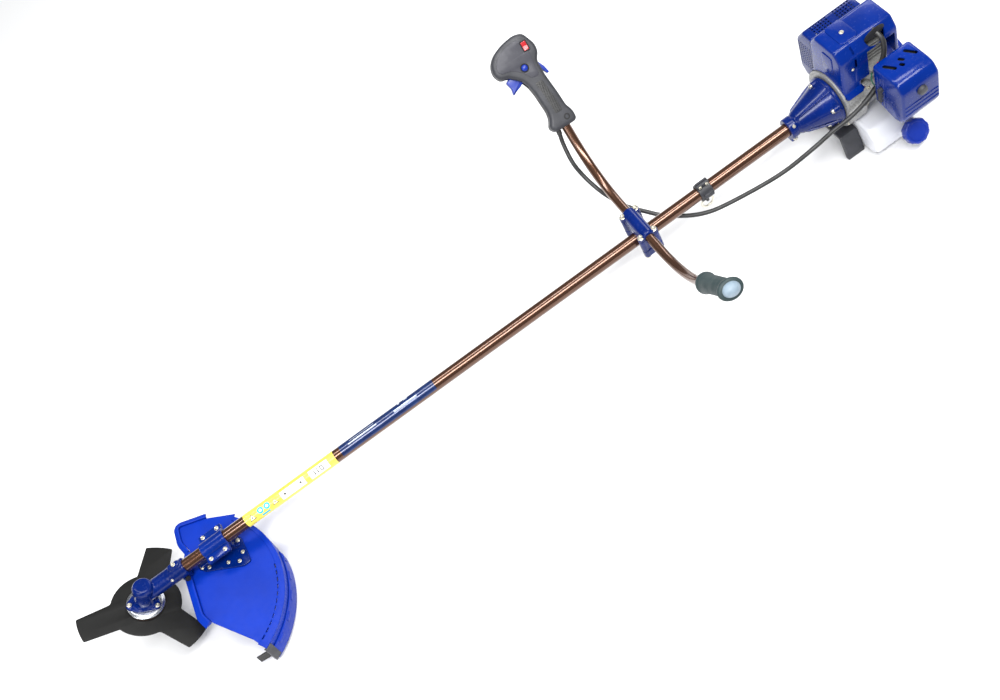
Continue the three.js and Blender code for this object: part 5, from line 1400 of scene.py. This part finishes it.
class BRUSHCUTTER_OT_starter(bpy.types.Operator):
    """Build the starter's housing, its vents, its handle and its cord"""

    bl_idname = "brushcutter.starter"
    bl_label = "Starter"
    bl_options = {"REGISTER", "UNDO"}

    def execute(self, context):
        shell = lathe([(14, 1682), (14, 1721), (30, 1721), (32, 1719.4), (40, 1719.4), (42, 1721),
            (54, 1717),
                       (58, 1710), (58, 1680), (54, 1679), (54, 1716), (50, 1718), (17, 1718), (17, 1682),
                       (14, 1682)], 96, 1.5)
        disc = lathe([(0, 1718.5), (16, 1718.5), (15, 1722), (0, 1723)], 48, 1)
        base = lathe([(31.6, 1676.5), (57.9, 1676.5), (57.9, 1682), (31.6, 1682), (31.6, 1676.5)], 72)
        vents = [place(brick(1712, 1726, -1.8, 1.8, 22, 49, 0.8), turn("X", a)) for a in range(0, 360, 20)]
        mouth = place(round_bar(4, -90, -40, 28), shift(PULL_X, 0, 0) @ ALONG_Y)
        piece("starter_shell", [place(shell, ALONG_X)], SHAFT, FINISH["blue"], cuts=[vents, [mouth]],
              replaces=["starter_housing"])
        piece("starter_plate", [place(base, ALONG_X)], SHAFT, FINISH["alloy"])
        piece("starter_boss", [place(disc, ALONG_X)], SHAFT, FINISH["blue"])
        screws = []
        for a in (45, 135, 225, 315):
            y, z = 53.5 * math.cos(math.radians(a)), 53.5 * math.sin(math.radians(a))
            screws += bolt_at((1717, y, z), (1, 0, 0), radius=2.8, height=2.2)
        piece("starter_screws", screws, SHAFT, FINISH["zinc"])
        eyelet = place(ring(2.4, 6.2, -60.6, -57, 32, 0.6), shift(PULL_X, 0, 0) @ ALONG_Y)
        piece("cord_eyelet", [eyelet], SHAFT, FINISH["black"])
        z = np.linspace(-28, 28, 60)
        end = np.sqrt(np.clip(1 - (z / 28.6) ** 6, 0.02, 1))
        scallop = 1 - 0.08 * np.cos(2 * math.pi * z / 18.7)
        section = arc(1, 0, 345, 23)
        rings = np.stack([PULL_X + 6.4 * (end * scallop)[:, None] * section[:, 0],
                          70.3 + 7.8 * (end * scallop)[:, None] * section[:, 1],
                          np.broadcast_to(z[:, None], (60, 24))], -1)
        stem = place(lathe([(0, -66), (6.2, -66), (5, -61.6), (0, -61.6)], 28, 0.6),
            shift(PULL_X, 0, 0) @ ALONG_Y)
        piece("pull_handle", [skin(rings), stem], SHAFT, FINISH["black"], "pull_grip", ["starter_handle"])
        y = np.linspace(50, 64, 90)
        path = np.stack([np.full(90, PULL_X), y, np.zeros(90)], -1)
        cord = bpy.data.objects.new("starter_cord", mesh_of("starter_cord", [tube(path, 1.8, 14)], SHAFT))
        bpy.context.scene.collection.objects.link(cord)
        shade(cord.data, 60)
        cord.data.materials.append(FINISH["cord"])
        start, stop = (SHAFT @ np.array([PULL_X, edge, 0, 1.0]) for edge in (51, 62))
        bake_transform(cord)
        return {"FINISHED"}


class BRUSHCUTTER_OT_tank(bpy.types.Operator):
    """Build the fuel tank, its scalloped cap and the stand"""

    bl_idname = "brushcutter.tank"
    bl_label = "Fuel Tank and Stand"
    bl_options = {"REGISTER", "UNDO"}

    def execute(self, context):
        tank = Span("fuel_tank")
        body = slab(rounded([(-86, -107), (62, -107), (76, -93), (76, -61), (62, -47), (-78, -47),
            (-100, -67),
                             (-100, -93)], 5), tank.x0, tank.x1, 8, 5)
        neck = place(round_bar(17, -30, 4, 48, 1),
                     shift(1664, -119, -73) @ turn("X", CAP_LEAN))
        fan = place(round_bar(61, 1570, 1612, 64), ALONG_X)
        starter = place(round_bar(59, 1671, 1730, 64), ALONG_X)
        piece("tank_shell", [place(body, ALONG_X)], SHAFT, FINISH["milky"], cuts=[[fan], [starter]],
              replaces=["fuel_tank"])
        piece("tank_neck", [neck], SHAFT, FINISH["milky"])
        radius = np.array([0, 12, 17.5, 18.2, 18.8, 22, 23.4, 24, 24, 23.4, 22, 17.5, 17.4, 0])
        height = np.array([7.6, 7.6, 7.6, 8.6, 8.6, 8.2, 7, 5, -6, -7.8, -8.4, -8.4, 4.4, 4.4])
        angle = np.linspace(0, 2 * math.pi, 160, endpoint=False)
        lobes = np.clip(np.cos(10 * angle), -0.4, 0.6)
        outer = np.clip((radius - 21) / 3, 0, 1)
        wave = radius[:, None] + outer[:, None] * (1.1 * lobes - 0.3)
        rings = np.stack([wave * np.cos(angle), wave * np.sin(angle),
            np.broadcast_to(height[:, None], wave.shape)], -1)
        piece("cap_skin", [(rings.reshape(-1, 3), grid_faces(14, 160))], CAP, FINISH["blue"], "tank_cap",
              ["fuel_cap"])
        stand = Span("engine_stand")
        ground = stand.z0

        def leg(side):
            points = rounded([(side * 46, -61.3), (side * 38, -66), (side * 54, ground),
                (side * 63, ground),
                              (side * 63, ground + 9)], 2.5)
            return place(slab(points, stand.x0, stand.x1, 1.8), ALONG_X)

        bar = brick(stand.x0, stand.x1, -46, 46, -69.3, -61.3, 1.8)
        gusset = [brick(stand.x0 + 2, stand.x1 - 2, s * 30 - 2, s * 30 + 2, -74, -66, 1) for s in (-1, 1)]
        piece("stand_legs", [leg(1), leg(-1), bar, *gusset], SHAFT, FINISH["black"],
            replaces=["engine_stand"])
        return {"FINISHED"}


class BRUSHCUTTER_OT_inner(bpy.types.Operator):
    """Finish the CAD pieces that stay as they are"""

    bl_idname = "brushcutter.inner"
    bl_label = "Inner Pieces"
    bl_options = {"REGISTER", "UNDO"}

    def execute(self, context):
        kept = {
            "steel": ["drive_shaft", "output_shaft", "output_gear", "pinion_gear", "lower_bearing",
                      "blade_washer", "clutch_drum", "crankshaft"],
            "zinc": ["blade_nut"],
            "alloy": ["clutch_shoes", "flywheel", "cylinder", "piston", "carburettor"],
            "black_steel": ["line_cutter", "neck_bolt", "muffler"],
            "black": ["air_filter_base", "choke_lever", "starter_pulley"],
            "rubber": ["shaft_bush"],
            "milky": ["primer_bulb"],
        }
        for name, nodes in kept.items():
            for node in nodes:
                looks(frame["nodes"][node], name)
        return {"FINISHED"}


class BRUSHCUTTER_OT_stage(bpy.types.Operator):
    """Set the floor, the lights and the camera"""

    bl_idname = "brushcutter.stage"
    bl_label = "Stage"
    bl_options = {"REGISTER", "UNDO"}

    def execute(self, context):
        scene = bpy.context.scene
        half = 30.0
        mesh = bpy.data.meshes.new("floor")
        mesh.from_pydata([(-half, -half, 0), (half, -half, 0), (half, half, 0), (-half, half, 0)], [],
            [(0, 1, 2, 3)])
        floor = bpy.data.objects.new("floor", mesh)
        scene.collection.objects.link(floor)
        pale = Finish("pale_floor", 0.9)
        pale.shader.inputs["Base Color"].default_value = colour((0.86, 0.86, 0.86))
        pale.shader.inputs["Specular IOR Level"].default_value = 0.1
        mesh.materials.append(pale.material)
        world = bpy.data.worlds.new("studio")
        world.use_nodes = True
        world.node_tree.nodes["Background"].inputs["Color"].default_value = colour((0.92, 0.95, 1.0))
        world.node_tree.nodes["Background"].inputs["Strength"].default_value = 0.22
        scene.world = world
        scene.view_settings.view_transform = "Standard"
        for name, spot, size, power in LAMPS:
            data = bpy.data.lights.new(name, "AREA")
            data.shape, data.size, data.size_y, data.energy = "RECTANGLE", size[0], size[1], power
            light = bpy.data.objects.new(name, data)
            light.location = spot
            light.rotation_euler = (-Vector(spot)).to_track_quat("-Z", "Y").to_euler()
            scene.collection.objects.link(light)
        data = bpy.data.cameras.new("camera")
        data.lens, data.sensor_width = LENS, SENSOR
        camera = bpy.data.objects.new("camera", data)
        eye = SHAFT @ np.array([*EYE, 1.0])
        camera.matrix_world = Matrix(basis(*VIEW, eye[:3]).tolist())
        scene.collection.objects.link(camera)
        scene.camera = camera
        return {"FINISHED"}


OPERATORS = [
    BRUSHCUTTER_OT_stage, BRUSHCUTTER_OT_shaft, BRUSHCUTTER_OT_head, BRUSHCUTTER_OT_blade,
    BRUSHCUTTER_OT_guard, BRUSHCUTTER_OT_saddle, BRUSHCUTTER_OT_clamp, BRUSHCUTTER_OT_harness,
    BRUSHCUTTER_OT_handlebar, BRUSHCUTTER_OT_handle, BRUSHCUTTER_OT_cable, BRUSHCUTTER_OT_clutch,
    BRUSHCUTTER_OT_block, BRUSHCUTTER_OT_cowl, BRUSHCUTTER_OT_muffler_cover, BRUSHCUTTER_OT_filter,
    BRUSHCUTTER_OT_starter, BRUSHCUTTER_OT_tank, BRUSHCUTTER_OT_inner,
]


class BRUSHCUTTER_PT_panel(bpy.types.Panel):
    """Lists the brush cutter's colours, fine sizes and pieces"""

    bl_label = "Brush Cutter"
    bl_space_type = "VIEW_3D"
    bl_region_type = "UI"
    bl_category = "Brush Cutter"

    def draw(self, context):
        for name in ("blue", "deep_blue", "tube"):
            self.layout.prop(context.scene.brush_cutter_looks, name)
        for name in ("paint_edge", "cast_grain", "grip_relief"):
            self.layout.prop(context.scene.brush_cutter_sizes, name)
        for operator in OPERATORS:
            self.layout.operator(operator.bl_idname)


CLASSES = [BrushCutterLooks, BrushCutterSizes, *OPERATORS, BRUSHCUTTER_PT_panel]


def register():
    """Makes Blender know the classes, and hangs both groups on the scene."""
    for cls in CLASSES:
        bpy.utils.register_class(cls)
    bpy.types.Scene.brush_cutter_looks = bpy.props.PointerProperty(type=BrushCutterLooks)
    bpy.types.Scene.brush_cutter_sizes = bpy.props.PointerProperty(type=BrushCutterSizes)


def unregister():
    """Takes away what register adds, in the opposite order."""
    del bpy.types.Scene.brush_cutter_sizes
    del bpy.types.Scene.brush_cutter_looks
    for cls in reversed(CLASSES):
        bpy.utils.unregister_class(cls)


def main():
    register()
    FINISH.update(finishes())
    for operator in OPERATORS:
        getattr(bpy.ops.brushcutter, operator.bl_idname.split(".")[1])()


if __name__ == "__main__":
    main()
